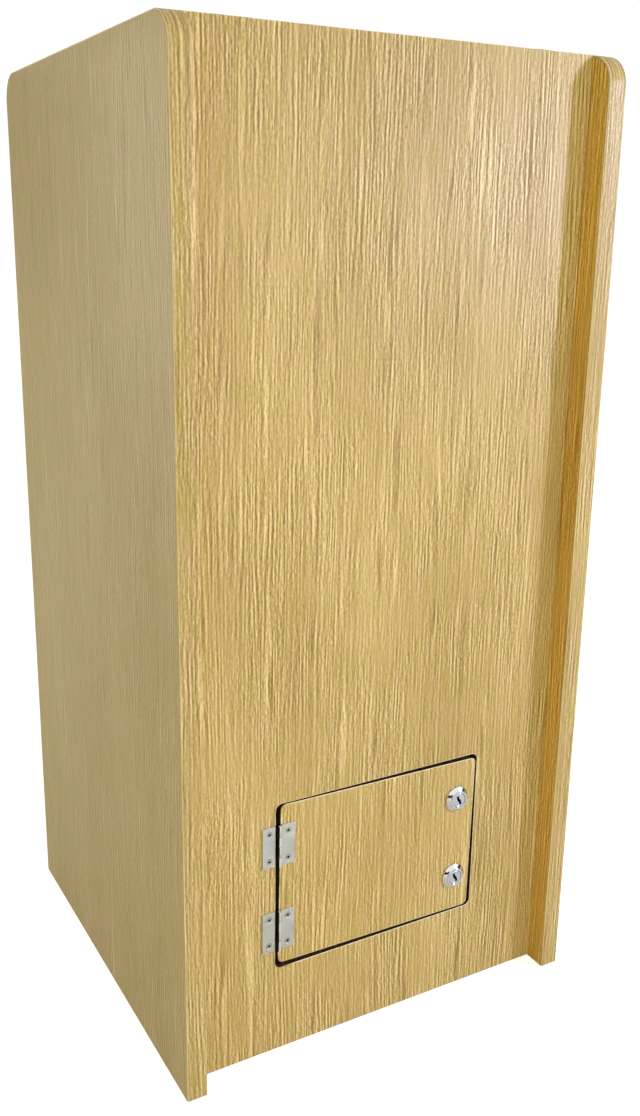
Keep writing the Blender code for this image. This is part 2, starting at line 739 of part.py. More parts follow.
def cash_box():
    """The open sheet-metal box that catches the coins."""
    width, depth, height = BOX_SIZE
    shape = bmesh.new()
    bmesh.ops.create_cube(shape, size=1, matrix=Matrix.Diagonal((width, depth, height, 1)))
    lid = [face for face in shape.faces if face.normal.z > 0.5]
    uprights = [
        edge for edge in shape.edges if abs(edge.verts[0].co.z - edge.verts[1].co.z) > height / 2
    ]
    bmesh.ops.delete(shape, geom=lid, context="FACES_ONLY")
    bmesh.ops.bevel(
        shape, geom=uprights, offset=BOX_CORNER, segments=3, profile=0.5, affect="EDGES"
    )
    mesh = bpy.data.meshes.new("cash_box")
    shape.to_mesh(mesh)
    shape.free()
    made = add_object("cash_box", mesh, zinc_steel())
    made.location = (SLOT_X, SLOT_Y, FLOOR_TOP + GAP + height / 2)
    walls = made.modifiers.new("sheet", "SOLIDIFY")
    walls.thickness = BOX_SHEET
    walls.offset = -1
    walls.use_even_offset = True


def box_guides():
    """Runners each side of the cash box and a block behind it, which keep it under the chute."""
    side = BOX_SIZE[0] / 2 + BOX_CLEARANCE
    front = SLOT_Y - BOX_SIZE[1] / 2
    back = SLOT_Y + BOX_SIZE[1] / 2
    bottom = FLOOR_TOP + GAP
    for name, sign in (("left", -1), ("right", 1)):
        xs = sorted((SLOT_X + sign * side, SLOT_X + sign * (side + RUNNER)))
        box(f"cash_box_{name}_runner", (xs[0], front, bottom), (xs[1], back, bottom + RUNNER), softwood())
    half = REAR_STOP_LENGTH / 2
    low = (SLOT_X - half, back + BOX_CLEARANCE, bottom)
    high = (SLOT_X + half, back + BOX_CLEARANCE + RUNNER, bottom + RUNNER)
    box("cash_box_rear_stop", low, high, softwood())


def shade_round_pieces():
    """Smooth shading for turned pieces, with the hard edges kept."""
    for made in parts.objects:
        made.data.shade_smooth()
        made.data.set_sharp_from_angle(angle=SHARP_ANGLE)


def main():
    start_scene()
    side_panel("left", -1)
    side_panel("right", 1)
    front = front_panel()
    back_panel()
    top = top_panel()
    floor_panel()
    battens()
    door_stop()
    door = door_panel()
    for level in ("upper", "lower"):
        hinge(level, front, door)
        cam_lock(level, door)
    slot_plate(top)
    coin_chute(top)
    cash_box()
    box_guides()
    shade_round_pieces()


main()
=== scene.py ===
import json
from math import cos, pi, radians, sin, tan

import bmesh
import bpy
from mathutils import Matrix, Vector


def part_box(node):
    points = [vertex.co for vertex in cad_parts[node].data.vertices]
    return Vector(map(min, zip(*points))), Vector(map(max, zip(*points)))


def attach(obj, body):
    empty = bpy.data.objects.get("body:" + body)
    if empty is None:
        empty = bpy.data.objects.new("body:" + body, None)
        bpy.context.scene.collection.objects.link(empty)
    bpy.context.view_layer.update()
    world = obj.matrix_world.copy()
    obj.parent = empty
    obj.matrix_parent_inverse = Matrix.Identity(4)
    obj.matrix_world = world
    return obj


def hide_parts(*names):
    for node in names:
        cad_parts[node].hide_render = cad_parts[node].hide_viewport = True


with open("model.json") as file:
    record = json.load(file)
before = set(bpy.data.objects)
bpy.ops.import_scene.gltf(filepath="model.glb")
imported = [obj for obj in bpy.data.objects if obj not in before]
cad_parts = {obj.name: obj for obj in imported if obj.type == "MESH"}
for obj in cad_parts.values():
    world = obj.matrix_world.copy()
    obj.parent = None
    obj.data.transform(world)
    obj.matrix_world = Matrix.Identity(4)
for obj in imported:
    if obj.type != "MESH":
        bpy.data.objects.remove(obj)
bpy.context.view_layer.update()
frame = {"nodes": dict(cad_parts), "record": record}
print("frame loaded with", len(frame["nodes"]), "nodes")

mm = 0.001
movedTo = Matrix.Translation


def rotation(degrees, axis):
    return Matrix.Rotation(radians(degrees), 4, axis)


onFront = rotation(90, "X")  # an outline's x and y become world X and Z
onSide = rotation(90, "Z") @ onFront  # they become world Y and Z
onTop = Matrix.Identity(4)
facingBack = rotation(-90, "X")
facingDown = rotation(180, "X")
white = (1.0, 1.0, 1.0)
levels = ("upper", "lower")
sides = ("left", "right")


# Small helpers for node trees

def addNode(tree, kind, inputs=None, **settings):
    made = tree.nodes.new(kind)
    for name, value in settings.items():
        setattr(made, name, value)
    for name, value in (inputs or {}).items():
        if isinstance(value, bpy.types.NodeSocket):
            tree.links.new(value, made.inputs[name])
        else:
            made.inputs[name].default_value = value
    return made


def nodeOut(tree, kind, inputs=None, **settings):
    return addNode(tree, kind, inputs, **settings).outputs[0]


def calc(tree, operation, *values):
    return nodeOut(tree, "ShaderNodeMath", dict(enumerate(values)), operation=operation)


def vectorCalc(tree, operation, *values):
    return nodeOut(tree, "ShaderNodeVectorMath", dict(enumerate(values)), operation=operation)


def joined(tree, *parts):
    return nodeOut(tree, "ShaderNodeCombineXYZ", dict(enumerate(parts)))


def parted(tree, vector):
    return addNode(tree, "ShaderNodeSeparateXYZ", {0: vector}).outputs


def stretch(tree, value, low, high, newLow=0.0, newHigh=1.0):
    inputs = {"Value": value, "From Min": low, "From Max": high, "To Min": newLow, "To Max": newHigh}
    return nodeOut(tree, "ShaderNodeMapRange", inputs)


def mixTones(tree, factor, first, second):
    made = addNode(tree, "ShaderNodeMix", data_type="RGBA")
    for socket, value in ((made.inputs[0], factor), (made.inputs[6], first), (made.inputs[7], second)):
        if isinstance(value, bpy.types.NodeSocket):
            tree.links.new(value, socket)
        else:
            socket.default_value = (*value, 1)
    return made.outputs[2]


def noise(tree, vector, scale, detail=2.0, roughness=0.5, output=0):
    # scale is three numbers, so that a grain can be drawn out along one axis
    scaled = vectorCalc(tree, "MULTIPLY", vector, scale)
    inputs = {"Vector": scaled, "Scale": 1.0, "Detail": detail, "Roughness": roughness}
    return addNode(tree, "ShaderNodeTexNoise", inputs).outputs[output]


def bump(tree, height, strength, distance, normal=None):
    inputs = {"Height": height, "Strength": strength, "Distance": distance}
    if normal:
        inputs["Normal"] = normal
    return nodeOut(tree, "ShaderNodeBump", inputs)


def newMaterial(name, **fixed):
    made = bpy.data.materials.new(name)
    made.use_nodes = True
    tree = made.node_tree
    shader = tree.nodes["Principled BSDF"]
    for key, value in fixed.items():
        shader.inputs[key.replace("_", " ")].default_value = value
    return made, tree, shader


def wire(tree, shader, **sources):
    for key, source in sources.items():
        tree.links.new(source, shader.inputs[key.replace("_", " ")])


def objectCoordinates(tree):
    return addNode(tree, "ShaderNodeTexCoord").outputs["Object"]


def faceMark(tree, name):
    return addNode(tree, "ShaderNodeAttribute", attribute_name=name).outputs["Fac"]


# Oak-grain laminate. The grain runs along one axis of the object, or along the "grain" attribute's Z.

oakLaminate = {
    "darkTone": (0.250, 0.165, 0.050),
    "yellowTone": (0.470, 0.350, 0.118),
    "pinkTone": (0.510, 0.360, 0.150),
    "lightTone": (0.790, 0.640, 0.330),
    "arrisHighlightTone": (0.78, 0.64, 0.40),
    "linesPerMetre": 258,
    "shadowOffset": 1.2 * mm,  # from a pale fibre to the dark one beside it
    "roughness": (0.40, 0.55),
    "reliefStrength": 0.25,
    "reliefDepth": 0.15 * mm,
    # how the grain bends: scales along each axis, and how far
    "lean": ((4, 4, 1.8), 0.012),
    "wave": ((55, 55, 17), 0.0009),
    # scales across and along the grain, and how many lines each moves the lines by
    "drift": ((60, 3), 4.0),
    "ripple": ((170, 15), 0.46),
    # scales across and along the grain
    "fade": (114, 10),
    "fibres": (400, 19),
    "dashes": (470, 112),
    "specks": (900, 335),
    "quiet": (22, 9),
    "slow": (12, 3),
    "mottle": (70, 30),
    # how much of the pattern each layer makes
    "lineShare": 0.19,
    "fibreShare": 0.43,
    "dashShare": 0.41,
    "speckShare": 0.32,
    "slowShare": 0.20,
}


def flatNoise(tree, vector, scales, detail=2.0, roughness=0.5):
    scaled = vectorCalc(tree, "MULTIPLY", vector, (*scales, 1.0))
    inputs = {"Vector": scaled, "Scale": 1.0, "Detail": detail, "Roughness": roughness}
    return nodeOut(tree, "ShaderNodeTexNoise", inputs, noise_dimensions="2D")


def embossed(tree, vector, beside, scales, roughness):
    # a fine noise less the same noise a little to one side, so that each pale streak has a dark one by it
    near, far = (flatNoise(tree, place, scales, 1.0, roughness) for place in (vector, beside))
    return calc(tree, "SUBTRACT", near, far)


def grainVector(tree, axis, shift):
    if axis == "attribute":
        source = addNode(tree, "ShaderNodeAttribute", attribute_name="grain").outputs["Vector"]
    else:
        source = objectCoordinates(tree)
    if axis in ("X", "Y"):
        parts = parted(tree, source)
        order = {"X": (2, 1, 0), "Y": (0, 2, 1)}[axis]
        source = joined(tree, *(parts[n] for n in order))
    return vectorCalc(tree, "ADD", source, shift)


def warped(tree, vector, scale, amount):
    wander = noise(tree, vector, scale, detail=1.0, output=1)
    centred = vectorCalc(tree, "SUBTRACT", wander, (0.5, 0.5, 0.5))
    return vectorCalc(tree, "MULTIPLY_ADD", centred, (amount, amount, 0.0), vector)


def oakFinish(name, axis="Z", shift=(0.0, 0.0, 0.0), contrast=1.0, tint=white, paintedArrisHighlight=False):
    look = oakLaminate
    made, tree, shader = newMaterial(name, IOR=1.48)
    bent = warped(tree, grainVector(tree, axis, shift), *look["lean"])
    parts = parted(tree, warped(tree, bent, *look["wave"]))
    across = calc(tree, "ADD", parts[0], parts[1])
    flat = joined(tree, across, parts[2])
    beside = vectorCalc(tree, "ADD", flat, (look["shadowOffset"], 0.0, 0.0))
    # growth lines a few millimetres apart, which wander, fade out and start again
    phase = calc(tree, "MULTIPLY", across, look["linesPerMetre"])
    for scales, turns in (look["drift"], look["ripple"]):
        phase = calc(tree, "MULTIPLY_ADD", flatNoise(tree, flat, scales), turns, phase)
    lines = calc(tree, "SINE", calc(tree, "MULTIPLY", phase, 2 * pi))
    fade = stretch(tree, flatNoise(tree, flat, look["fade"], roughness=0.6), 0.36, 0.62, 0.15, 1.0)
    quiet = stretch(tree, flatNoise(tree, flat, look["quiet"]), 0.38, 0.60, 0.57, 1.15)
    slow = calc(tree, "SUBTRACT", flatNoise(tree, flat, look["slow"]), 0.5)
    layers = (
        (calc(tree, "MULTIPLY", lines, fade), look["lineShare"]),
        (embossed(tree, flat, beside, look["fibres"], 0.75), look["fibreShare"]),
        (embossed(tree, flat, beside, look["dashes"], 0.6), look["dashShare"]),
        (calc(tree, "SUBTRACT", flatNoise(tree, flat, look["specks"], 1.0, 0.6), 0.5), look["speckShare"]),
    )
    # all of it together swings about zero, up for pale and down for dark
    swing = 0.0
    for layer, share in layers:
        swing = calc(tree, "MULTIPLY_ADD", layer, share, swing)
    swing = calc(tree, "MULTIPLY", swing, quiet)
    swing = calc(tree, "MULTIPLY", calc(tree, "MULTIPLY_ADD", slow, look["slowShare"], swing), contrast)
    mottle = flatNoise(tree, flat, look["mottle"], roughness=0.6)
    colour = mixTones(tree, stretch(tree, mottle, 0.38, 0.62), look["yellowTone"], look["pinkTone"])
    for end, tone in ((0.30, look["lightTone"]), (-0.30, look["darkTone"])):
        colour = mixTones(tree, stretch(tree, swing, 0.0, end), colour, tone)
    colour = vectorCalc(tree, "MULTIPLY", colour, tint)
    if paintedArrisHighlight:
        # the rounded arrises turn paler: partly the trimmed band's own edge, partly a painted highlight
        wearAndHighlight = calc(tree, "MULTIPLY", faceMark(tree, "arris"), stretch(tree, slow, -0.2, 0.2, 0.45, 0.9))
        colour = mixTones(tree, wearAndHighlight, colour, look["arrisHighlightTone"])
    rough = stretch(tree, swing, 0.2, -0.2, *look["roughness"])
    relief = bump(tree, swing, look["reliefStrength"], look["reliefDepth"])
    wire(tree, shader, Base_Color=colour, Roughness=rough, Normal=relief)
    return made


# The laminate's cut edge, a pale line where the decor paper and glue show, made paler still as a painted
# highlight

def paleCutHighlightFinish():
    made, tree, shader = newMaterial("pale_cut_line", Roughness=0.6)
    place = objectCoordinates(tree)
    chips = noise(tree, place, (260, 260, 260), detail=3.0, roughness=0.7)
    soil = noise(tree, place, (30, 30, 30), detail=2.0)
    colour = mixTones(tree, stretch(tree, chips, 0.35, 0.7), (0.68, 0.58, 0.38), (0.95, 0.86, 0.66))
    colour = mixTones(tree, stretch(tree, soil, 0.62, 0.75), colour, (0.30, 0.22, 0.12))
    wire(tree, shader, Base_Color=colour, Normal=bump(tree, chips, 0.5, 0.1 * mm))
    return made


# Raw board where it is sawn: pressed wood chips

def chipboardFinish(name, darkChip, paleChip, dustTone, gloss=0.5):
    made, tree, shader = newMaterial(name, Roughness=0.85, Specular_IOR_Level=gloss)
    place = objectCoordinates(tree)
    chips = addNode(tree, "ShaderNodeTexVoronoi", {"Vector": place, "Scale": 420.0}, feature="F1").outputs
    shade = nodeOut(tree, "ShaderNodeSeparateColor", {0: chips["Color"]})
    dust = noise(tree, place, (900, 900, 900), detail=2.0)
    colour = mixTones(tree, shade, darkChip, paleChip)
    colour = mixTones(tree, stretch(tree, dust, 0.5, 0.8, 0.0, 0.6), colour, dustTone)
    wire(tree, shader, Base_Color=colour, Normal=bump(tree, chips["Distance"], 0.6, 0.4 * mm))
    return made


# Bare planed softwood for battens, cleats, runners and stops

def softwoodFinish(name, axis):
    made, tree, shader = newMaterial(name)
    plain = grainVector(tree, axis, (0.03, 0.07, 0.0))
    wavy = warped(tree, plain, (14, 14, 3), 0.006)
    rings = addNode(
        tree,
        "ShaderNodeTexWave",
        {"Vector": wavy, "Scale": 42.0, "Distortion": 3.0, "Detail": 2.0, "Detail Scale": 0.6},
        wave_type="BANDS",
        bands_direction="DIAGONAL",
    ).outputs["Fac"]
    fibres = noise(tree, wavy, (700, 700, 16), detail=3.0, roughness=0.6)
    inputs = {"Vector": plain, "Scale": 9.0, "Randomness": 1.0}
    knots = addNode(tree, "ShaderNodeTexVoronoi", inputs, feature="F1").outputs["Distance"]
    late = stretch(tree, rings, 0.55, 0.95, 0.0, 0.7)
    colour = mixTones(tree, late, (0.66, 0.49, 0.27), (0.47, 0.29, 0.12))
    colour = mixTones(tree, stretch(tree, fibres, 0.45, 0.75, 0.0, 0.5), colour, (0.78, 0.62, 0.38))
    colour = mixTones(tree, stretch(tree, knots, 0.07, 0.03, 0.0, 0.8), colour, (0.20, 0.10, 0.04))
    rough = stretch(tree, fibres, 0.3, 0.7, 0.55, 0.78)
    wire(tree, shader, Base_Color=colour, Roughness=rough, Normal=bump(tree, fibres, 0.4, 0.2 * mm))
    return made


# Metals

metals = {
    # tone, worn tone, roughness low and high, brushing per metre along x, y and z
    "plated_steel": ((0.77, 0.80, 0.82), (0.56, 0.57, 0.57), 0.30, 0.44, (60, 60, 900)),
    "screw_steel": ((0.60, 0.60, 0.59), (0.36, 0.35, 0.33), 0.26, 0.42, (500, 500, 500)),
    "zinc_sheet": ((0.50, 0.52, 0.54), (0.33, 0.34, 0.35), 0.34, 0.52, (240, 240, 40)),
    "cam_steel": ((0.58, 0.57, 0.52), (0.38, 0.36, 0.30), 0.28, 0.42, (700, 700, 60)),
    "chrome": ((0.80, 0.85, 0.96), (0.64, 0.67, 0.74), 0.05, 0.13, (300, 300, 300)),
    "plug_face": ((0.76, 0.81, 0.95), (0.57, 0.60, 0.68), 0.16, 0.28, (900, 900, 900)),
}


def metalFinish(name, paintedCreases=False):
    tone, wornTone, smooth, dull, brushing = metals[name]
    made, tree, shader = newMaterial(name, Metallic=1.0)
    place = objectCoordinates(tree)
    fine = noise(tree, place, brushing, detail=4.0, roughness=0.65)
    smudge = noise(tree, place, (45, 45, 45), detail=3.0, roughness=0.6)
    scratch = noise(tree, place, (2400, 160, 900), detail=1.0)
    wearAndHighlight = calc(tree, "MULTIPLY", stretch(tree, smudge, 0.48, 0.75), stretch(tree, fine, 0.35, 0.65))
    colour = mixTones(tree, wearAndHighlight, tone, wornTone)
    if paintedCreases:
        # painted shade near black where the crease mark is one, a painted highlight near white where it is
        # minus one
        crease = faceMark(tree, "crease")
        colour = mixTones(tree, stretch(tree, crease, 0.1, 0.6), colour, (0.012, 0.010, 0.008))
        colour = mixTones(tree, stretch(tree, crease, -0.1, -0.6), colour, (0.95, 0.95, 0.93))
    gloss = calc(tree, "MULTIPLY_ADD", smudge, 0.4, calc(tree, "MULTIPLY", fine, 0.6))
    surface = bump(tree, fine, 0.12, 0.06 * mm)
    surface = bump(tree, stretch(tree, scratch, 0.68, 0.72), 0.10, 0.03 * mm, surface)
    rough = stretch(tree, gloss, 0.35, 0.65, smooth, dull)
    wire(tree, shader, Base_Color=colour, Roughness=rough, Normal=surface)
    return made


def keywayFinish():
    made, tree, shader = newMaterial("keyway_shadow", Roughness=0.8, Specular_IOR_Level=0.1)
    place = objectCoordinates(tree)
    # the keyway is near black with a faint speckle: painted shade
    shadeSpeckle = noise(tree, place, (1500, 1500, 1500), detail=3.0)
    colour = mixTones(tree, shadeSpeckle, (0.002, 0.002, 0.002), (0.018, 0.014, 0.010))
    wire(tree, shader, Base_Color=colour, Normal=bump(tree, shadeSpeckle, 0.3, 0.1 * mm))
    return made


finishes = {
    "frontOak": oakFinish("oak_front", shift=(0.40, 0.0, 0.0), contrast=1.05, tint=(1.0, 0.985, 0.98)),
    "doorOak": oakFinish("oak_door", shift=(1.13, 0.0, 0.57), contrast=0.85, tint=(1.05, 1.035, 1.02)),
    # the side faces' copy of the oak is cooled and its grain flattened: painted cool fill light and sheen
    "sideOakPaintedCool": oakFinish("oak_side", shift=(0.0, 2.20, 0.0), contrast=0.55, tint=(0.90, 0.93, 1.15)),
    # the inner faces' copy is warmer and more saturated: painted warm bounce light from the lit front
    # panel
    "innerOakPaintedBounce": oakFinish("oak_inner_side", shift=(0.0, 5.60, 0.0), contrast=0.9, tint=(1.22, 1.00, 0.54)),
    "flatOak": oakFinish("oak_flat", "X", (0.0, 3.10, 0.0)),
    "bandOak": oakFinish("oak_band", "attribute", contrast=0.9, tint=(0.97, 0.96, 0.98), paintedArrisHighlight=True),
    "paleCutHighlight": paleCutHighlightFinish(),
    "chipboard": chipboardFinish(
        "raw_chipboard", (0.20, 0.12, 0.055), (0.52, 0.38, 0.21), (0.12, 0.07, 0.03)
    ),
    # near-black chipboard for the door's edges and the opening's sides: painted shade in the gap round the
    # door
    "gapShadeEdge": chipboardFinish(
        "stained_edge", (0.016, 0.006, 0.003), (0.090, 0.044, 0.022), (0.022, 0.010, 0.005), gloss=0.15
    ),
    "softwoodX": softwoodFinish("softwood_across", "X"),
    "softwoodY": softwoodFinish("softwood_deep", "Y"),
    "softwoodZ": softwoodFinish("softwood_upright", "Z"),
    "keyway": keywayFinish(),
}
for metalName in metals:
    finishes[metalName] = metalFinish(metalName, paintedCreases=metalName in ("plated_steel", "screw_steel"))
print("finishes made:", len(finishes))


# Shape helpers

def easedPath(corners, closed=True, steps=5):
    # corners are (x, y, radius); each one with a radius becomes an arc
    points = []
    count = len(corners)
    for n, (x, y, radius) in enumerate(corners):
        corner = Vector((x, y))
        isEnd = not closed and n in (0, count - 1)
        if radius <= 0 or isEnd:
            points.append((x, y))
            continue
        before = (Vector(corners[n - 1][:2]) - corner).normalized()
        after = (Vector(corners[(n + 1) % count][:2]) - corner).normalized()
        half = before.angle(after) / 2
        centre = corner + (before + after).normalized() * radius / sin(half)
        start = corner + before * radius / tan(half) - centre
        turn = start.angle_signed(corner + after * radius / tan(half) - centre)
        for step in range(steps + 1):
            swung = Matrix.Rotation(-turn * step / steps, 2) @ start
            points.append(tuple(centre + swung))
    return points


def roundedBox(width, height, radius, centre=(0, 0), steps=5):
    x, y = width / 2, height / 2
    cx, cy = centre
    corners = [(cx - x, cy - y), (cx + x, cy - y), (cx + x, cy + y), (cx - x, cy + y)]
    return easedPath([(*corner, radius) for corner in corners], steps=steps)


def circle(radius, centre=(0, 0), count=72):
    turns = [2 * pi * n / count for n in range(count)]
    return [(centre[0] + radius * cos(turn), centre[1] + radius * sin(turn)) for turn in turns]


def boxOf(node):
    low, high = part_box(node)
    return low, high, (low + high) / 2, high - low


def keepObject(name, data):
    made = bpy.data.objects.new(name, data)
    bpy.context.scene.collection.objects.link(made)
    return made


def keepShape(name, shape, place=onTop):
    bmesh.ops.recalc_face_normals(shape, faces=shape.faces)
    mesh = bpy.data.meshes.new(name)
    shape.to_mesh(mesh)
    shape.free()
    mesh.transform(place)
    return keepObject(name, mesh)


def drawnMesh(source):
    bpy.context.view_layer.update()
    return bpy.data.meshes.new_from_object(source.evaluated_get(bpy.context.evaluated_depsgraph_get()))


def settle(piece):
    # the piece keeps what its modifiers make, as a plain mesh
    mesh = drawnMesh(piece)
    piece.modifiers.clear()
    piece.data = mesh
    return piece


def clean(mesh):
    shape = bmesh.new()
    shape.from_mesh(mesh)
    bmesh.ops.remove_doubles(shape, verts=shape.verts, dist=0.002 * mm)
    bmesh.ops.dissolve_degenerate(shape, edges=shape.edges, dist=0.001 * mm)
    bmesh.ops.recalc_face_normals(shape, faces=shape.faces)
    shape.to_mesh(mesh)
    shape.free()


def smooth(piece, angle=32):
    piece.data.shade_smooth()
    piece.data.set_sharp_from_angle(angle=radians(angle))
    return piece


def slab(name, outline, thickness, place, holes=(), arris=0.0, arrisSteps=2):
    # a flat outline given a thickness, with its arrises rounded over
    curve = bpy.data.curves.new(name, "CURVE")
    curve.dimensions = "2D"
    curve.fill_mode = "BOTH"
    curve.extrude = thickness / 2 - arris
    curve.bevel_depth = arris
    curve.bevel_resolution = arrisSteps
    curve.offset = -arris
    for loop in (outline, *holes):
        spline = curve.splines.new("POLY")
        spline.points.add(len(loop) - 1)
        for point, (x, y) in zip(spline.points, loop):
            point.co = (x, y, 0, 1)
        spline.use_cyclic_u = True
    drawn = keepObject(name, curve)
    mesh = drawnMesh(drawn)
    bpy.data.objects.remove(drawn)
    mesh.materials.clear()
    clean(mesh)
    mesh.transform(place)
    return keepObject(name, mesh)


def joinRings(shape, rings, closed):
    # a ring of one corner is a pole
    for first, second in zip(rings, rings[1:] + rings[:1] if closed else rings[1:]):
        count = max(len(first), len(second))
        for n in range(count):
            m = (n + 1) % count
            order = ((first, n), (first, m), (second, m), (second, n))
            shape.faces.new(list(dict.fromkeys(ring[k % len(ring)] for ring, k in order)))


def turned(name, profile, place, segments=72, closed=False, thread=None):
    # profile is (radius, height) points about the local Z; thread is (radius, depth, pitch)
    shape = bmesh.new()
    rings = []
    for radius, height in profile:
        if radius < 0.001 * mm:
            rings.append([shape.verts.new((0, 0, height))])
            continue
        ring = []
        for n in range(segments):
            angle = 2 * pi * n / segments
            reach = radius
            if thread and abs(radius - thread[0]) < 0.01 * mm:
                turnShare = (height / thread[2] + n / segments) % 1
                reach -= thread[1] * abs(2 * turnShare - 1)
            ring.append(shape.verts.new((reach * cos(angle), reach * sin(angle), height)))
        rings.append(ring)
    joinRings(shape, rings, closed)
    return keepShape(name, shape, place)


def loft(name, rings, closed=False):
    shape = bmesh.new()
    loops = [[shape.verts.new(point) for point in ring] for ring in rings]
    joinRings(shape, loops, closed)
    if not closed:
        shape.faces.new(loops[0])
        shape.faces.new(loops[-1])
    return keepShape(name, shape)


def combine(piece, tool, operation="DIFFERENCE"):
    step = piece.modifiers.new(operation.lower(), "BOOLEAN")
    step.operation = operation
    step.solver = "EXACT"
    step.object = tool
    settle(piece)
    bpy.data.objects.remove(tool)
    return piece


def ease(piece, width, segments=2, angle=35):
    step = piece.modifiers.new("ease", "BEVEL")
    step.width = width
    step.segments = segments
    step.limit_method = "ANGLE"
    step.angle_limit = radians(angle)
    step.harden_normals = True
    return settle(piece)


def dress(piece, *materials):
    piece.data.materials.clear()
    for material in materials:
        piece.data.materials.append(material)
    return piece


def belong(piece, body, slot, *nodes):
    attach(piece, body)
    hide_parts(*nodes)


def finishPiece(piece, finish, angle, body, slot, *nodes):
    dress(piece, finishes[finish])
    smooth(piece, angle)
    belong(piece, body, slot, *nodes)


# Geometry node helpers

def newTree(name, **given):
    tree = bpy.data.node_groups.new(name, "GeometryNodeTree")
    tree.interface.new_socket("Geometry", in_out="INPUT", socket_type="NodeSocketGeometry")
    for title, kind in given.items():
        tree.interface.new_socket(title.replace("_", " "), in_out="INPUT", socket_type="NodeSocket" + kind)
    tree.interface.new_socket("Geometry", in_out="OUTPUT", socket_type="NodeSocketGeometry")
    return tree, tree.nodes.new("NodeGroupInput").outputs


def closeTree(tree, geometry, material):
    whole = nodeOut(tree, "GeometryNodeRealizeInstances", {0: geometry})
    covered = nodeOut(tree, "GeometryNodeSetMaterial", {"Geometry": whole, "Material": material})
    tree.links.new(covered, tree.nodes.new("NodeGroupOutput").inputs[0])


def runTree(name, mesh, tree, values):
    piece = keepObject(name, mesh)
    step = piece.modifiers.new(tree.name, "NODES")
    step.node_group = tree
    for item in tree.interface.items_tree:
        if item.in_out == "INPUT" and item.name in values:
            step[item.identifier] = values[item.name]
    settle(piece)
    clean(piece.data)
    return piece


# Boards

boards = {
    "arris": 0.5 * mm,
    "bandThickness": 1.25 * mm,
    "bandArris": 0.6 * mm,
    "cornerRadius": 25 * mm,
    "squareCorner": 0.3 * mm,
}


def makeBoard(name, node, hole=None):
    # the short way through the board is its thickness
    centre, size = boxOf(node)[2:]
    upright = size.y < size.z
    rise, thickness = (size.z, size.y) if upright else (size.y, size.z)
    outline = roundedBox(size.x, rise, boards["squareCorner"], steps=2)
    place = movedTo(centre) @ (onFront if upright else onTop)
    return slab(name, outline, thickness, place, holes=[hole] if hole else [], arris=boards["arris"])


def finishBoard(piece, normalAxis, face, edge, arris, cut=None, inside=None):
    # faces, outer edges, rounded arrises and the sides of a cut opening each have their own material
    dress(piece, *(finishes[finish] for finish in (face, edge, arris, cut or edge)))
    for polygon in piece.data.polygons:
        facing = abs(polygon.normal[normalAxis])
        if facing > 0.995:
            polygon.material_index = 0
        elif facing > 0.08:
            polygon.material_index = 2
        elif inside and inside(polygon.center):
            polygon.material_index = 3
        else:
            polygon.material_index = 1
    return smooth(piece, 20)


def makeSidePanel(side):
    low, high, centre, size = boxOf(f"{side}_edge_band")
    inset = boards["bandThickness"] + 0.02 * mm
    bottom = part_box(f"{side}_side_panel")[0].z
    front, back, top = low.y + inset, high.y - inset, high.z - inset
    radius = boards["cornerRadius"] - inset
    corners = [(front, bottom, 0.0), (front, top, radius), (back, top, radius), (back, bottom, 0.0)]
    place = movedTo((centre.x, 0, 0)) @ onSide
    panel = slab(f"{side}_side_board", easedPath(corners, steps=16), size.x, place, arris=0.15 * mm)
    finishBoard(panel, 0, "sideOakPaintedCool", "chipboard", "sideOakPaintedCool", cut="innerOakPaintedBounce")
    for polygon in panel.data.polygons:
        # the face that looks into the cabinet, which takes the warmer copy of the oak with its painted
        # bounce light
        if polygon.normal.x * centre.x < -0.9 * abs(centre.x):
            polygon.material_index = 3
    belong(panel, "cabinet", "oak_laminate", f"{side}_side_panel")


def edgeBandTree():
    tree, given = newTree(
        "edge band",
        Corner_Radius="Float",
        Board_Width="Float",
        Band_Thickness="Float",
        Arris="Float",
        Grain_Shift="Float",
        Band_Material="Material",
    )

    def stored(geometry, name, value, kind, domain):
        inputs = {"Geometry": geometry, "Name": name, "Value": value}
        return nodeOut(tree, "GeometryNodeStoreNamedAttribute", inputs, data_type=kind, domain=domain)

    def filleted(path, radius, count):
        inputs = {"Curve": path, "Radius": radius, "Count": count}
        return nodeOut(tree, "GeometryNodeFilletCurve", inputs, mode="POLY")

    path = nodeOut(tree, "GeometryNodeMeshToCurve", {0: given["Geometry"]})
    inputs = {"Curve": filleted(path, given["Corner Radius"], 20), "Normal": (1.0, 0.0, 0.0)}
    path = nodeOut(tree, "GeometryNodeSetCurveNormal", inputs, mode="FREE")
    length = addNode(tree, "GeometryNodeSplineParameter").outputs["Length"]
    path = stored(path, "along", length, "FLOAT", "POINT")
    inputs = {"Width": given["Board Width"], "Height": given["Band Thickness"]}
    profile = nodeOut(tree, "GeometryNodeCurvePrimitiveQuadrilateral", inputs)
    half = calc(tree, "MULTIPLY", given["Band Thickness"], 0.5)
    inputs = {"Geometry": filleted(profile, given["Arris"], 4), "Translation": joined(tree, 0.0, half)}
    profile = nodeOut(tree, "GeometryNodeTransform", inputs)
    inputs = {"Curve": path, "Profile Curve": profile, "Fill Caps": True}
    band = nodeOut(tree, "GeometryNodeCurveToMesh", inputs)
    # the grain follows the path, and the rounded arrises are marked so that they can be made paler, partly
    # the trimmed band's own edge and partly a painted highlight
    across = parted(tree, nodeOut(tree, "GeometryNodeInputPosition"))[0]
    along = nodeOut(tree, "GeometryNodeInputNamedAttribute", {"Name": "along"}, data_type="FLOAT")
    grain = joined(tree, across, given["Grain Shift"], along)
    band = stored(band, "grain", grain, "FLOAT_VECTOR", "POINT")
    sideways = parted(tree, nodeOut(tree, "GeometryNodeInputNormal"))[0]
    onArris = calc(tree, "GREATER_THAN", calc(tree, "ABSOLUTE", sideways), 0.12)
    band = stored(band, "arris", onArris, "FLOAT", "FACE")
    closeTree(tree, band, given["Band Material"])
    return tree


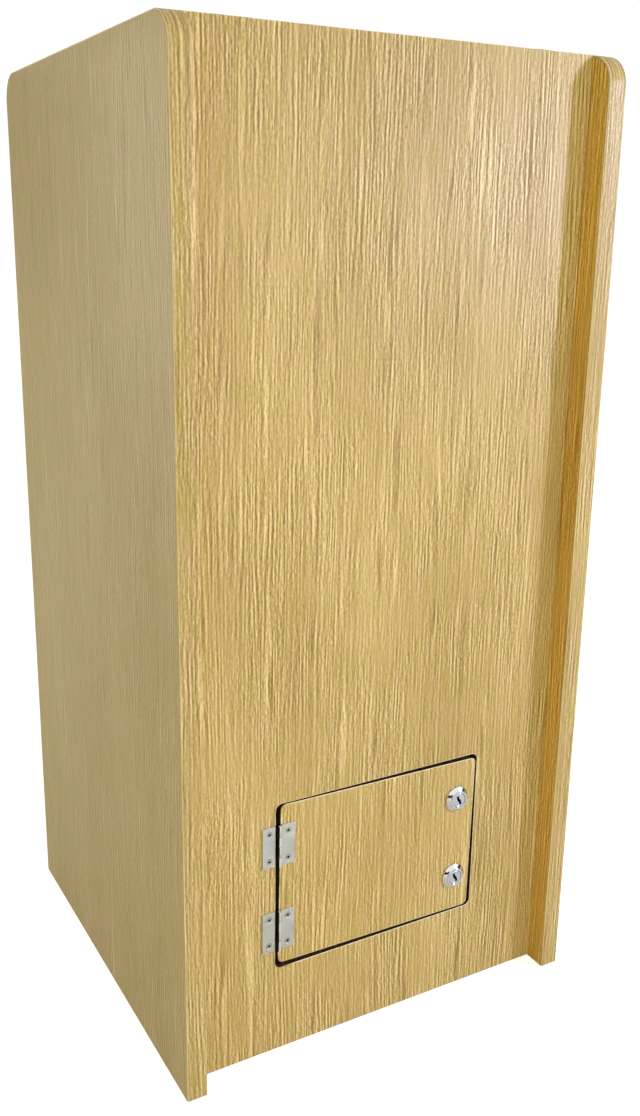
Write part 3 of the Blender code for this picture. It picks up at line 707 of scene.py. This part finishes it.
def makeEdgeBand(side, tree):
    low, high, centre, size = boxOf(f"{side}_edge_band")
    stops = [(low.y, low.z), (low.y, high.z), (high.y, high.z), (high.y, low.z)]
    mesh = bpy.data.meshes.new(f"{side}_band_path")
    mesh.from_pydata([(centre.x, y, z) for y, z in stops], [(0, 1), (1, 2), (2, 3)], [])
    values = {
        "Corner Radius": boards["cornerRadius"],
        "Board Width": size.x,
        "Band Thickness": boards["bandThickness"],
        "Arris": boards["bandArris"],
        "Grain Shift": 1.7 if side == "left" else 4.9,
        "Band Material": finishes["bandOak"],
    }
    band = smooth(runTree(f"{side}_edge_banding", mesh, tree, values), 40)
    belong(band, "cabinet", "oak_band", f"{side}_edge_band")


for side in sides:
    makeSidePanel(side)
bandTree = edgeBandTree()
for side in sides:
    makeEdgeBand(side, bandTree)
print("side panels and their edge bands made")


# The front panel's opening and the door that hangs in it

opening = {
    "left": -107 * mm,
    "right": 103 * mm,
    "bottom": 83.5 * mm,
    "top": 241.5 * mm,
    "radius": 6 * mm,
}
door = {
    "width": 203.4 * mm,
    "height": 152.2 * mm,
    "radius": 5 * mm,
    "sag": 0.8,  # degrees, the lock side hangs low
    "arris": 0.6 * mm,
    "lockBore": 9.6 * mm,
}


def makeFrontPanel():
    centre, size = boxOf("front_panel")[2:]
    left, right, bottom, top = (opening[edge] for edge in ("left", "right", "bottom", "top"))
    middle = ((left + right) / 2 - centre.x, (bottom + top) / 2 - centre.z)
    hole = roundedBox(right - left, top - bottom, opening["radius"], middle)
    panel = makeBoard("front_board", "front_panel", hole)
    reach = size / 2 - Vector((20, 0, 20)) * mm  # well inside the board's own edges

    def inOpening(point):
        return abs(point.x - centre.x) < reach.x and abs(point.z - centre.z) < reach.z

    # the opening's sides take the painted shade of the gap
    finishBoard(panel, 1, "frontOak", "flatOak", "paleCutHighlight", cut="gapShadeEdge", inside=inOpening)
    belong(panel, "cabinet", "oak_laminate", "front_panel")


def makeDoor():
    centre, size = boxOf("door_panel")[2:]
    outline = roundedBox(door["width"], door["height"], door["radius"])
    sag = rotation(door["sag"], "Y")
    place = movedTo(centre) @ sag @ onFront
    toDoor = place.inverted()
    bores = [circle(door["lockBore"], toDoor @ boxOf(f"{level}_lock_barrel")[2]) for level in levels]
    panel = slab("door_board", outline, size.y, place, holes=bores, arris=door["arris"])
    # the door's edges take the painted shade of the gap, its arrises the painted highlight
    finishBoard(panel, 1, "doorOak", "gapShadeEdge", "paleCutHighlight")
    belong(panel, "door", "oak_laminate", "door_panel")


def makeBackPanel():
    panel = makeBoard("back_board", "back_panel")
    finishBoard(panel, 1, "frontOak", "flatOak", "paleCutHighlight")
    belong(panel, "cabinet", "oak_laminate", "back_panel")


makeFrontPanel()
makeDoor()
makeBackPanel()
print("front, door and back made")


# Top with its coin slot, and the floor of the cash compartment

coinSlot = {
    "length": 36 * mm,
    "width": 5 * mm,
    "plateRadius": 3 * mm,
    "plateEase": 0.3 * mm,
    "pocketClear": 0.3 * mm,
    "screwOffset": 32 * mm,
    "hole": (46 * mm, 16 * mm),
    "chuteWall": 1.2 * mm,
    "chuteScrewOffset": 41 * mm,
}


def makeTop():
    high, centre = boxOf("top_panel")[1:3]
    plateCentre, plateSize = boxOf("coin_slot_plate")[2:]
    hole = roundedBox(*coinSlot["hole"], 0.4 * mm, (plateCentre - centre).xy, steps=2)
    panel = makeBoard("top_board", "top_panel", hole)
    clear = coinSlot["pocketClear"]
    radius = coinSlot["plateRadius"] + clear
    pocket = roundedBox(plateSize.x + 2 * clear, plateSize.y + 2 * clear, radius)
    place = movedTo((plateCentre.x, plateCentre.y, high.z))
    combine(panel, slab("slot_pocket", pocket, 2 * (plateSize.z + clear), place))

    def inPocket(point):
        return abs(point.x - plateCentre.x) < 60 * mm and abs(point.y - plateCentre.y) < 30 * mm

    finishBoard(panel, 2, "flatOak", "chipboard", "paleCutHighlight", inside=inPocket)
    belong(panel, "cabinet", "oak_laminate", "top_panel")


def makeFloor():
    panel = makeBoard("floor_board", "floor_panel")
    finishBoard(panel, 2, "flatOak", "chipboard", "paleCutHighlight")
    belong(panel, "cabinet", "oak_laminate", "floor_panel")


countersink = {"head": 2.8 * mm, "shank": 1.7 * mm, "drop": 1.2 * mm, "length": 14 * mm, "lift": 0.5 * mm}


def sinkHoles(piece, points, direction):
    head, shank, drop, length, lift = countersink.values()
    mouth = head + lift * (head - shank) / drop
    profile = [(0, lift), (mouth, lift), (shank, -drop), (shank, -length), (0, -length)]
    for point in points:
        combine(piece, turned("countersink", profile, movedTo(point) @ direction, segments=48))


def makeSlotPlate():
    high, centre, size = boxOf("coin_slot_plate")[1:]
    outline = roundedBox(size.x, size.y, coinSlot["plateRadius"], steps=8)
    hole = roundedBox(coinSlot["length"], coinSlot["width"], coinSlot["width"] / 2 - 0.02 * mm, steps=10)
    place = movedTo(centre)
    plate = slab("slot_plate", outline, size.z, place, holes=[hole], arris=coinSlot["plateEase"])
    out = Vector((coinSlot["screwOffset"], 0, 0))
    top = Vector((centre.x, centre.y, high.z))
    sinkHoles(plate, (top - out, top + out), onTop)
    finishPiece(plate, "plated_steel", 25, "cabinet", "plated_steel", "coin_slot_plate")


def makeChute():
    low, high, centre, size = boxOf("coin_chute")
    throat, flange = coinSlot["hole"], (size.x, size.y)
    wall = coinSlot["chuteWall"]
    neck, under = 2 * wall, high.z - wall
    stages = [
        # for each ring round the folded sheet: its size, what is added to that, corner radius and height
        (throat, 0, 0.6 * mm, low.z + 0.2 * mm),
        (throat, 0.4 * mm, 0.8 * mm, low.z),
        (throat, neck - 0.4 * mm, 1.6 * mm, low.z),
        (throat, neck, 1.8 * mm, low.z + 0.2 * mm),
        (throat, neck, 1.8 * mm, under - 1.4 * mm),
        (throat, neck + 0.8 * mm, 2.2 * mm, under - 0.4 * mm),
        (throat, neck + 2.8 * mm, 3.2 * mm, under),
        (flange, -0.4 * mm, 4 * mm, under),
        (flange, 0, 4 * mm, under + 0.2 * mm),
        (flange, 0, 4 * mm, high.z - 0.2 * mm),
        (flange, -0.4 * mm, 4 * mm, high.z),
        (throat, 2 * mm, 1.6 * mm, high.z),
        (throat, 0.6 * mm, 0.9 * mm, high.z - 0.4 * mm),
        (throat, 0, 0.6 * mm, high.z - 1.0 * mm),
    ]
    rings = []
    for (length, width), added, radius, height in stages:
        outline = roundedBox(length + added, width + added, radius, centre.xy, steps=4)
        rings.append([(x, y, height) for x, y in outline])
    chute = loft("folded_chute", rings, closed=True)
    out = Vector((coinSlot["chuteScrewOffset"], 0, 0))
    flat = Vector((centre.x, centre.y, under))
    sinkHoles(chute, (flat - out, flat + out), facingDown)
    finishPiece(chute, "zinc_sheet", 35, "cabinet", "zinc_steel", "coin_chute")


cashBox = {"sheet": 1.2 * mm, "corner": 4 * mm, "hemHeight": 9 * mm, "fold": 1.4 * mm}


def makeCashBox():
    low, high, centre, size = boxOf("cash_box")
    sheet, fold = cashBox["sheet"], cashBox["fold"]
    hemmed, lip = 2 * sheet + 0.1 * mm, high.z - cashBox["hemHeight"]
    # inset from the outside and height, from under the box, up its wall, over the hem and down inside
    section = [
        (12 * mm, low.z, 0),
        (0, low.z, fold),
        (0, high.z, 0.9 * sheet),
        (hemmed, high.z, 0.9 * sheet),
        (hemmed, lip, 0.3 * mm),
        (sheet + 0.1 * mm, lip, 0),
        (sheet, lip - 0.3 * mm, 0),
        (sheet, low.z + sheet, 0.6 * fold),
        (14 * mm, low.z + sheet, 0),
    ]
    rings = []
    for inset, height in easedPath(section, closed=False, steps=4):
        radius = max(cashBox["corner"] - inset, 0.8 * mm)
        outline = roundedBox(size.x - 2 * inset, size.y - 2 * inset, radius, centre.xy, steps=6)
        rings.append([(x, y, height) for x, y in outline])
    box = loft("hemmed_cash_box", rings)
    finishPiece(box, "zinc_sheet", 35, "cabinet", "zinc_steel", "cash_box")


makeTop()
makeFloor()
makeSlotPlate()
makeChute()
makeCashBox()
print("top, floor and coin path made")


# Softwood battens, cleats, runners and stops, each planed with eased arrises

def makeStick(node):
    centre, size = boxOf(node)[2:]
    axis = max(range(3), key=lambda n: size[n])
    turn, across, rise = ((onSide, 1, 2), (onFront, 0, 2), (onTop, 0, 1))[axis]
    outline = roundedBox(size[across], size[rise], 1.2 * mm)
    stick = slab(f"planed_{node}", outline, size[axis], movedTo(centre) @ turn, arris=0.6 * mm)
    finishPiece(stick, "softwood" + "XYZ"[axis], 25, "cabinet", "softwood", node)


sticks = [part["node"] for part in frame["record"]["subparts"] if part["material_slot"] == "softwood"]
for stickNode in sticks:
    makeStick(stickNode)
print("softwood pieces made:", len(sticks))


# Hinges

hinge = {
    "axisX": -104.6 * mm,
    "leafWidth": 15.4 * mm,
    "thickness": 1.2 * mm,
    "knuckleRadius": 2.2 * mm,
    "knuckles": 4,
    "clearance": 0.3 * mm,  # between neighbouring knuckles
    "pinRadius": 1.0 * mm,
    "screwX": 9.0 * mm,
    "screwZ": 12.7 * mm,
    "roll": 300,  # degrees
    "rollSteps": 22,
    # from the knuckles to the slots between them, and the width of painted shade beside them
    "cutBack": {"frame": 1.2 * mm, "door": 0.5 * mm},
    "shadeWidth": {"frame": 1.3 * mm, "door": 0.4 * mm},
}


def leafStations(side, sign, axisY, plateY):
    # the leaf's middle line as seen from above: flat from its outer edge, then rolled round the pin
    middle = hinge["knuckleRadius"] - hinge["thickness"] / 2
    outer = (hinge["axisX"] + sign * hinge["leafWidth"], plateY)
    cutBack = (hinge["axisX"] + sign * (hinge["knuckleRadius"] + hinge["cutBack"][side]), plateY)
    rolled = []
    for step in range(hinge["rollSteps"] + 1):
        angle = radians(90 + sign * hinge["roll"] * step / hinge["rollSteps"])
        y = axisY + middle * sin(angle)
        rolled.append((hinge["axisX"] + middle * cos(angle), min(y, plateY)))
    return [outer, cutBack, *rolled]


def markPaintedLight(piece, inShade, inHighlight=lambda point: False):
    # one on the faces painted with shade, minus one on those painted with a highlight
    marks = piece.data.attributes.new("crease", "FLOAT", "FACE")
    for polygon in piece.data.polygons:
        point = polygon.center
        marks.data[polygon.index].value = 1.0 if inShade(point) else -1.0 if inHighlight(point) else 0.0


def makeLeaf(level, side):
    node = f"{level}_hinge_{side}_leaf"
    sign = -1 if side == "frame" else 1
    own = (1, 3) if side == "frame" else (0, 2)
    low, high, centre, size = boxOf(node)
    axisX, axisY = hinge["axisX"], boxOf(f"{level}_hinge_pin")[2].y
    stations = leafStations(side, sign, axisY, high.y - hinge["thickness"] / 2)
    gap = hinge["clearance"] / 2
    heights = [low.z]
    for knuckle in range(1, hinge["knuckles"]):
        # the boundary moves into the neighbour's share, so that own knuckles are a little short
        share = knuckle * size.z / hinge["knuckles"]
        heights.append(low.z + share + (gap if knuckle in own else -gap))
    heights.append(high.z)
    shape = bmesh.new()
    made = {}

    def corner(station, row):
        if (station, row) not in made:
            made[station, row] = shape.verts.new((*stations[station], heights[row]))
        return made[station, row]

    for row in range(hinge["knuckles"]):
        for n in range(len(stations) - 1 if row in own else 1):
            order = ((n, row), (n + 1, row), (n + 1, row + 1), (n, row + 1))
            shape.faces.new([corner(*spot) for spot in order])
    leaf = keepShape(f"{level}_{side}_hinge_leaf", shape)
    sheet = leaf.modifiers.new("sheet", "SOLIDIFY")
    sheet.thickness = hinge["thickness"]
    sheet.offset = 0
    sheet.use_even_offset = True
    settle(leaf)
    clean(leaf.data)
    ease(leaf, 0.14 * mm, segments=2, angle=50)
    face = Vector((axisX + sign * hinge["screwX"], high.y - hinge["thickness"], centre.z))
    up = Vector((0, 0, hinge["screwZ"]))
    sinkHoles(leaf, (face - up, face + up), onFront)
    # painted shade in the crease where the leaf meets its knuckles and on the door barrel's left flank,
    # and a painted highlight along the barrel's front
    crease = axisX + sign * (hinge["knuckleRadius"] - 0.2 * mm)
    flank = axisX - 1.1 * mm

    def inPaintedShade(point):
        beside = abs(point.x - crease) < hinge["shadeWidth"][side]
        return point.y > axisY - 1.9 * mm and (beside or side == "door" and point.x < flank)

    markPaintedLight(leaf, inPaintedShade, lambda point: flank < point.x < axisX + 1.3 * mm and point.y < axisY)
    body = "cabinet" if side == "frame" else "door"
    finishPiece(leaf, "plated_steel", 30, body, "plated_steel", node)


def makePin(level):
    centre, size = boxOf(f"{level}_hinge_pin")[2:]
    half, radius = size.z / 2, hinge["pinRadius"]
    corners = [(0, half, 0), (radius, half, 0.45 * mm), (radius, -half, 0.45 * mm), (0, -half, 0)]
    profile = easedPath(corners, closed=False)
    pin = turned(f"{level}_rivet_pin", profile, movedTo(centre), segments=32)
    finishPiece(pin, "plated_steel", 32, "cabinet", "plated_steel", f"{level}_hinge_pin")


for level in levels:
    makeLeaf(level, "frame")
    makeLeaf(level, "door")
    makePin(level)
print("hinges made")


# Countersunk screws, set on their points by one node tree

woodScrew = {
    "headRadius": 2.5 * mm,
    "headDrop": 1.1 * mm,
    "crown": 0.16 * mm,  # how far the rim lies below the middle of the head
    "shankRadius": 1.35 * mm,
    "length": 12 * mm,
    "threadPitch": 1.1 * mm,
    "recessWidth": 1.0 * mm,
    "recessSpan": 3.0 * mm,
    "recessDepth": 1.0 * mm,
}


def crossRecess(name, width, span, depth, top, place):
    # two tapering blades that cross, as a driver's tip
    blades = []
    for turn in (0, 90):
        swung = Matrix.Rotation(radians(turn), 3, "Z")
        rings = []
        for share, height in ((1.25, top), (1.0, top - 0.3 * mm), (0.35, top - 0.3 * mm - depth)):
            half = span / 2 * share
            thin = width / 2 * (0.75 + 0.25 * share)
            corners = [(-half, -thin), (half, -thin), (half, thin), (-half, thin)]
            rings.append([swung @ Vector((x, y, height)) for x, y in corners])
        blades.append(loft(name, rings))
    cross = combine(*blades, "UNION")
    cross.data.transform(place)
    return cross


def screwMaster():
    look = woodScrew
    head, drop, shank = look["headRadius"], look["headDrop"], look["shankRadius"]
    sunk = -look["crown"]
    profile = [
        (0, 0),
        (head * 0.5, sunk * 0.25),
        (head * 0.85, sunk * 0.75),
        (head - 0.08 * mm, sunk),
        (head, sunk - 0.08 * mm),
        (shank + 0.1 * mm, -drop),
    ]
    steps = 40
    threaded = look["length"] - drop - 2.2 * mm
    for step in range(steps + 1):
        profile.append((shank, -drop - 0.2 * mm - threaded * step / steps))
    profile.append((0.5 * shank, -look["length"] + 0.8 * mm))
    profile.append((0, -look["length"]))
    thread = (shank, 0.35 * mm, look["threadPitch"])
    master = turned("screw_master", profile, Matrix.Identity(4), segments=40, thread=thread)
    width, span, depth = look["recessWidth"], look["recessSpan"], look["recessDepth"]
    combine(master, crossRecess("recess", width, span, depth, 0.4 * mm, onTop))

    def inPaintedShade(point):
        # painted shade in the recess, and round the head's rim
        inRecess = -depth - 0.4 * mm < point.z < -0.1 * mm and point.xy.length < span * 0.62
        return inRecess or abs(point.xy.length - head) < 0.06 * mm

    markPaintedLight(master, inPaintedShade)
    return smooth(master, 32)


def screwTree():
    tree, given = newTree("set screws", Screw="Object", Seed="Int", Screw_Material="Material")
    screw = addNode(tree, "GeometryNodeObjectInfo", {"Object": given["Screw"]}).outputs["Geometry"]
    facing = nodeOut(tree, "GeometryNodeInputNamedAttribute", {"Name": "facing"}, data_type="FLOAT_VECTOR")
    aim = nodeOut(tree, "FunctionNodeAlignRotationToVector", {"Vector": facing}, axis="Z")
    inputs = {2: 0.0, 3: 2 * pi, "Seed": given["Seed"]}
    spin = addNode(tree, "FunctionNodeRandomValue", inputs, data_type="FLOAT").outputs[1]
    spin = nodeOut(tree, "FunctionNodeEulerToRotation", {0: joined(tree, 0.0, 0.0, spin)})
    inputs = {"Rotation": aim, "Rotate By": spin}
    turn = nodeOut(tree, "FunctionNodeRotateRotation", inputs, rotation_space="LOCAL")
    points = nodeOut(tree, "GeometryNodeMeshToPoints", {0: given["Geometry"]})
    inputs = {"Points": points, "Instance": screw, "Rotation": turn}
    placed = nodeOut(tree, "GeometryNodeInstanceOnPoints", inputs)
    closeTree(tree, placed, given["Screw Material"])
    return tree


def makeScrews(name, body, nodes, master, tree, seed):
    points = []
    facings = []
    for node in nodes:
        low, high, centre, size = boxOf(node)
        if size.y > max(size.x, size.z):
            facings.append((0, -1, 0))
            points.append((centre.x, low.y, centre.z))
        elif "chute" in node:
            facings.append((0, 0, -1))
            points.append((centre.x, centre.y, low.z))
        else:
            facings.append((0, 0, 1))
            points.append((centre.x, centre.y, high.z))
    mesh = bpy.data.meshes.new(f"{name}_points")
    mesh.from_pydata(points, [], [])
    attribute = mesh.attributes.new("facing", "FLOAT_VECTOR", "POINT")
    for item, facing in zip(attribute.data, facings):
        item.vector = facing
    values = {"Screw": master, "Seed": seed, "Screw Material": finishes["screw_steel"]}
    screws = runTree(name, mesh, tree, values)
    belong(screws, body, "plated_steel", *nodes)


master = screwMaster()
setScrews = screwTree()
ends = [(level, end) for level in levels for end in levels]
frameScrews = [f"{level}_hinge_frame_{end}_screw" for level, end in ends]
doorScrews = [f"{level}_hinge_door_{end}_screw" for level, end in ends]
coinScrews = [f"coin_{part}_{side}_screw" for part in ("slot", "chute") for side in sides]
makeScrews("cabinet_screws", "cabinet", frameScrews + coinScrews, master, setScrews, 7)
makeScrews("door_screws", "door", doorScrews, master, setScrews, 12)
bpy.data.objects.remove(master)
print("screws set:", len(frameScrews + doorScrews + coinScrews))


# Cam locks. Heights are measured out from the door's face, so what lies behind it is negative.

lock = {
    "flangeRadius": 12.2 * mm,
    "flangeEdge": 1.3 * mm,
    "bezelRadius": 8.9 * mm,
    "bezelProud": 4.6 * mm,
    "boreRadius": 6.95 * mm,
    "barrelRadius": 9.4 * mm,
    "barrelEnd": -23 * mm,
    "threadDepth": 0.45 * mm,
    "threadPitch": 1.0 * mm,
    "plugRadius": 6.7 * mm,
    "plugProud": 4.2 * mm,
    "plugShoulder": -23.4 * mm,
    "tailWidth": 6.6 * mm,
    "keywayTurn": 16,  # degrees, its top leans to the left
    "keywayDepth": 9 * mm,
    "keywayLeg": 1.20 * mm,  # half the width of each leg
    "keywayReach": 4.7 * mm,
    "keywaySide": 0.55 * mm,  # how far each leg lies to its side
    "nutAcross": 23.4 * mm,  # between flats
    "camFold": 0.25 * mm,
    "screwTurn": {"upper": 28, "lower": 71},  # degrees
}
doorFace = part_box("door_panel")[0].y


def lockPlace(level):
    centre = boxOf(f"{level}_lock_barrel")[2]
    return movedTo((centre.x, doorFace, centre.z)) @ onFront


def makeBarrel(level):
    flange, edge = lock["flangeRadius"], lock["flangeEdge"]
    bezel, proud, bore = lock["bezelRadius"], lock["bezelProud"], lock["boreRadius"]
    barrel, end = lock["barrelRadius"], lock["barrelEnd"]
    outline = easedPath(
        [
            (bore, 1.0 * mm, 0),
            (bore, proud, 0.35 * mm),
            (bezel, proud, 0.6 * mm),
            (bezel, proud - 1.0 * mm, 0.35 * mm),
            (flange - 1.9 * mm, 2.75 * mm, 3 * mm),
            (flange, edge, 0.5 * mm),
            (flange, 0.3 * mm, 0.2 * mm),
            (barrel - 0.2 * mm, 0.3 * mm, 0),
        ],
        closed=False,
        steps=6,
    )
    rows = 184
    top = -0.4 * mm
    threadRows = [(barrel, top + (end + 1.0 * mm - top) * row / rows) for row in range(rows + 1)]
    tail = [(barrel - 0.9 * mm, end), (bore, end)]
    thread = (barrel, lock["threadDepth"], lock["threadPitch"])
    name = f"{level}_lock_body"
    profile = outline + threadRows + tail
    body = turned(name, profile, lockPlace(level), segments=96, closed=True, thread=thread)
    finishPiece(body, "chrome", 40, "door", "chrome", f"{level}_lock_barrel")


def makeNut(level):
    centre, size = boxOf(f"{level}_lock_nut")[2:]
    place = movedTo(centre) @ onFront
    half, flat = size.y / 2, lock["nutAcross"] / 2
    corner = flat / cos(radians(30))
    hole = circle(lock["barrelRadius"] + 0.05 * mm)
    nut = slab(f"{level}_hex_nut", circle(corner, count=6), size.y, place, holes=[hole], arris=0.25 * mm)
    profile = [
        (0, half),
        (flat - 0.1 * mm, half),
        (corner + 0.4 * mm, half - 1.0 * mm),
        (corner + 0.4 * mm, -half + 1.0 * mm),
        (flat - 0.1 * mm, -half),
        (0, -half),
    ]
    combine(nut, turned("nut_chamfer", profile, place, segments=96), "INTERSECT")
    finishPiece(nut, "cam_steel", 25, "door", "zinc_steel", f"{level}_lock_nut")


def makePlug(level):
    proud, radius, shoulder = lock["plugProud"], lock["plugRadius"], lock["plugShoulder"]
    corners = [
        (0, proud - 0.15 * mm, 0),
        (radius - 1.1 * mm, proud - 0.15 * mm, 0.3 * mm),
        (radius - 0.9 * mm, proud, 0.15 * mm),
        (radius, proud, 0.3 * mm),
        (radius, shoulder, 0.3 * mm),
        (0, shoulder, 0),
    ]
    place = lockPlace(level)
    plug = turned(f"{level}_lock_core", easedPath(corners, closed=False, steps=4), place, segments=96)
    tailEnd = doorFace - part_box(f"{level}_lock_plug")[1].y
    tailLength = shoulder + 2 * mm - tailEnd
    tailPlace = place @ movedTo((0, 0, tailEnd + tailLength / 2))
    tailOutline = roundedBox(lock["tailWidth"], lock["tailWidth"], 0.4 * mm)
    combine(plug, slab("tail", tailOutline, tailLength, tailPlace, arris=0.2 * mm), "UNION")
    # the keyway is two narrow legs joined by a dogleg, the same from above and below
    leg, reach, side = lock["keywayLeg"], lock["keywayReach"], lock["keywaySide"]
    half = [
        (-side - leg, reach, 0.3 * mm),
        (-side - leg, -0.2 * mm, 0.2 * mm),
        (side - leg, -1.1 * mm, 0.2 * mm),
        (side - leg, -reach, 0.3 * mm),
    ]
    keyway = easedPath(half + [(-x, -y, rounding) for x, y, rounding in half], steps=3)
    depth = lock["keywayDepth"]
    slotPlace = place @ rotation(lock["keywayTurn"], "Z")
    slotPlace = slotPlace @ movedTo((0, 0, proud))
    slot = dress(slab("keyway", keyway, 2 * depth, slotPlace), finishes["keyway"])
    dress(plug, finishes["plug_face"], finishes["keyway"])
    smooth(combine(plug, slot), 30)
    # the slot's walls and floor take the painted shade, the rest is the plug's own metal
    for polygon in plug.data.polygons:
        local = slotPlace.inverted() @ polygon.center
        inward = abs(local.x) < side + leg + 0.1 * mm and abs(local.y) < reach + 0.1 * mm
        polygon.material_index = 1 if inward and -depth - 0.1 * mm < local.z < -0.2 * mm else 0
    belong(plug, f"{level}_lock", "chrome", f"{level}_lock_plug")


def makeCam(level):
    mesh = frame["nodes"][f"{level}_lock_cam"].data.copy()
    mesh.name = f"{level}_lock_tongue"
    clean(mesh)
    shape = bmesh.new()
    shape.from_mesh(mesh)
    bmesh.ops.dissolve_limit(shape, angle_limit=radians(2), verts=shape.verts, edges=shape.edges)
    shape.to_mesh(mesh)
    shape.free()
    cam = ease(keepObject(mesh.name, mesh), lock["camFold"], segments=3, angle=40)
    finishPiece(cam, "cam_steel", 35, f"{level}_lock", "zinc_steel", f"{level}_lock_cam")


def makeCamScrew(level):
    high, centre = boxOf(f"{level}_lock_cam_screw")[1:3]
    seat = high.y - 2.4 * mm
    place = movedTo((centre.x, seat, centre.z)) @ facingBack
    corners = [
        (0, 2.4 * mm, 0),
        (2.0 * mm, 2.35 * mm, 2 * mm),
        (4.0 * mm, 1.5 * mm, 1.2 * mm),
        (4.2 * mm, 0, 0.2 * mm),
        (1.8 * mm, 0, 0),
        (1.8 * mm, -5.6 * mm, 0.3 * mm),
        (1.3 * mm, -6 * mm, 0),
        (0, -6 * mm, 0),
    ]
    screw = turned(f"{level}_tongue_screw", easedPath(corners, closed=False), place, segments=48)
    turn = rotation(lock["screwTurn"][level], "Z")
    combine(screw, crossRecess("cam_recess", 0.9 * mm, 4.4 * mm, 1.3 * mm, 2.7 * mm, place @ turn))
    finishPiece(screw, "screw_steel", 30, f"{level}_lock", "zinc_steel", f"{level}_lock_cam_screw")


for level in levels:
    makeBarrel(level)
    makeNut(level)
    makePlug(level)
    makeCam(level)
    makeCamScrew(level)
print("locks made")


# Floor, lights and camera

studio = {
    "floorSize": 30.0,
    "floorDrop": 0.2 * mm,
    "floorTone": (0.75, 0.75, 0.75),
    "floorGlow": 0.72,
    "surround": 1.05,
    "ambient": 0.48,
    "ambientTone": (1.0, 0.95, 0.60),
    "keyTone": (0.97, 1.0, 1.35),
    "mirroredTone": (1.0, 0.97, 0.90),
    # metal reflects a dark band round the room and a pale ceiling, which meet between these heights
    "mirroredHeights": (0.21, 0.27),
    "mirroredStrengths": (0.03, 1.0),
    # each light has its place, aim, power and size
    "key": ((1.68, -1.66, 1.16), (0.05, -0.2, 0.50), 25.5, 0.35),
    "leftFill": ((-1.7, 1.2, 0.72), (-0.2, 0.0, 0.36), 15.0, 1.2),
    "frontFill": ((-0.5, -1.9, 0.5), (0.05, -0.2, 0.40), 12.5, 0.8),
}
camera = {
    "place": (-0.4974, -0.9141, 0.7015),
    "yaw": 28.53,  # degrees from +Y towards +X
    "pitch": -15.01,
    "roll": 0.455,
    "lens": 35.68,
    "shift": (0.0288, -0.0237),
}


def makeFloorPlane():
    half, drop = studio["floorSize"] / 2, studio["floorDrop"]
    mesh = bpy.data.meshes.new("studio_floor")
    corners = [(x * half, y * half, -drop) for x, y in ((-1, -1), (1, -1), (1, 1), (-1, 1))]
    mesh.from_pydata(corners, [], [(0, 1, 2, 3)])
    floor = keepObject("studio_floor", mesh)
    tones = {"Base_Color": (*studio["floorTone"], 1), "Emission_Color": (*white, 1)}
    made, tree, shader = newMaterial("pale_floor", Roughness=0.7, **tones)
    seen = addNode(tree, "ShaderNodeLightPath").outputs["Is Camera Ray"]
    wire(tree, shader, Emission_Strength=calc(tree, "MULTIPLY", seen, studio["floorGlow"]))
    dress(floor, made)


def makeWorld():
    world = bpy.data.worlds.new("studio")
    world.use_nodes = True
    tree = world.node_tree
    sky = tree.nodes["Background"]
    ray = addNode(tree, "ShaderNodeLightPath").outputs
    tone = mixTones(tree, ray["Is Glossy Ray"], white, studio["mirroredTone"])
    tone = mixTones(tree, ray["Is Diffuse Ray"], tone, studio["ambientTone"])
    up = parted(tree, addNode(tree, "ShaderNodeTexCoord").outputs["Generated"])[2]
    mirrored = stretch(tree, up, *studio["mirroredHeights"], *studio["mirroredStrengths"])
    strength = calc(tree, "MULTIPLY", ray["Is Glossy Ray"], mirrored)
    strength = calc(tree, "MULTIPLY_ADD", ray["Is Diffuse Ray"], studio["ambient"], strength)
    strength = calc(tree, "MULTIPLY_ADD", ray["Is Camera Ray"], studio["surround"], strength)
    wire(tree, sky, Color=tone, Strength=strength)
    bpy.context.scene.world = world


def addAreaLight(name, tone=white, mirrored=True):
    place, aim, power, size = studio[name]
    light = bpy.data.lights.new(name, "AREA")
    light.shape = "SQUARE"
    light.size = size
    light.energy = power
    light.color = tone
    lamp = keepObject(name, light)
    lamp.visible_glossy = mirrored
    lamp.location = place
    lamp.rotation_euler = (Vector(aim) - Vector(place)).to_track_quat("-Z", "Y").to_euler()


def makeCamera():
    data = bpy.data.cameras.new("camera")
    data.lens = camera["lens"]
    data.sensor_width = 36
    data.shift_x, data.shift_y = camera["shift"]
    data.clip_start, data.clip_end = 0.05, 60
    made = keepObject("camera", data)
    made.location = camera["place"]
    turn = rotation(-camera["yaw"], "Z") @ rotation(90 + camera["pitch"], "X")
    made.rotation_euler = (turn @ rotation(camera["roll"], "Z")).to_euler()
    bpy.context.scene.camera = made


makeFloorPlane()
makeWorld()
addAreaLight("key", studio["keyTone"])
addAreaLight("leftFill")
addAreaLight("frontFill", studio["ambientTone"], mirrored=False)
makeCamera()
bpy.context.scene.view_settings.view_transform = "Standard"
print("studio made")
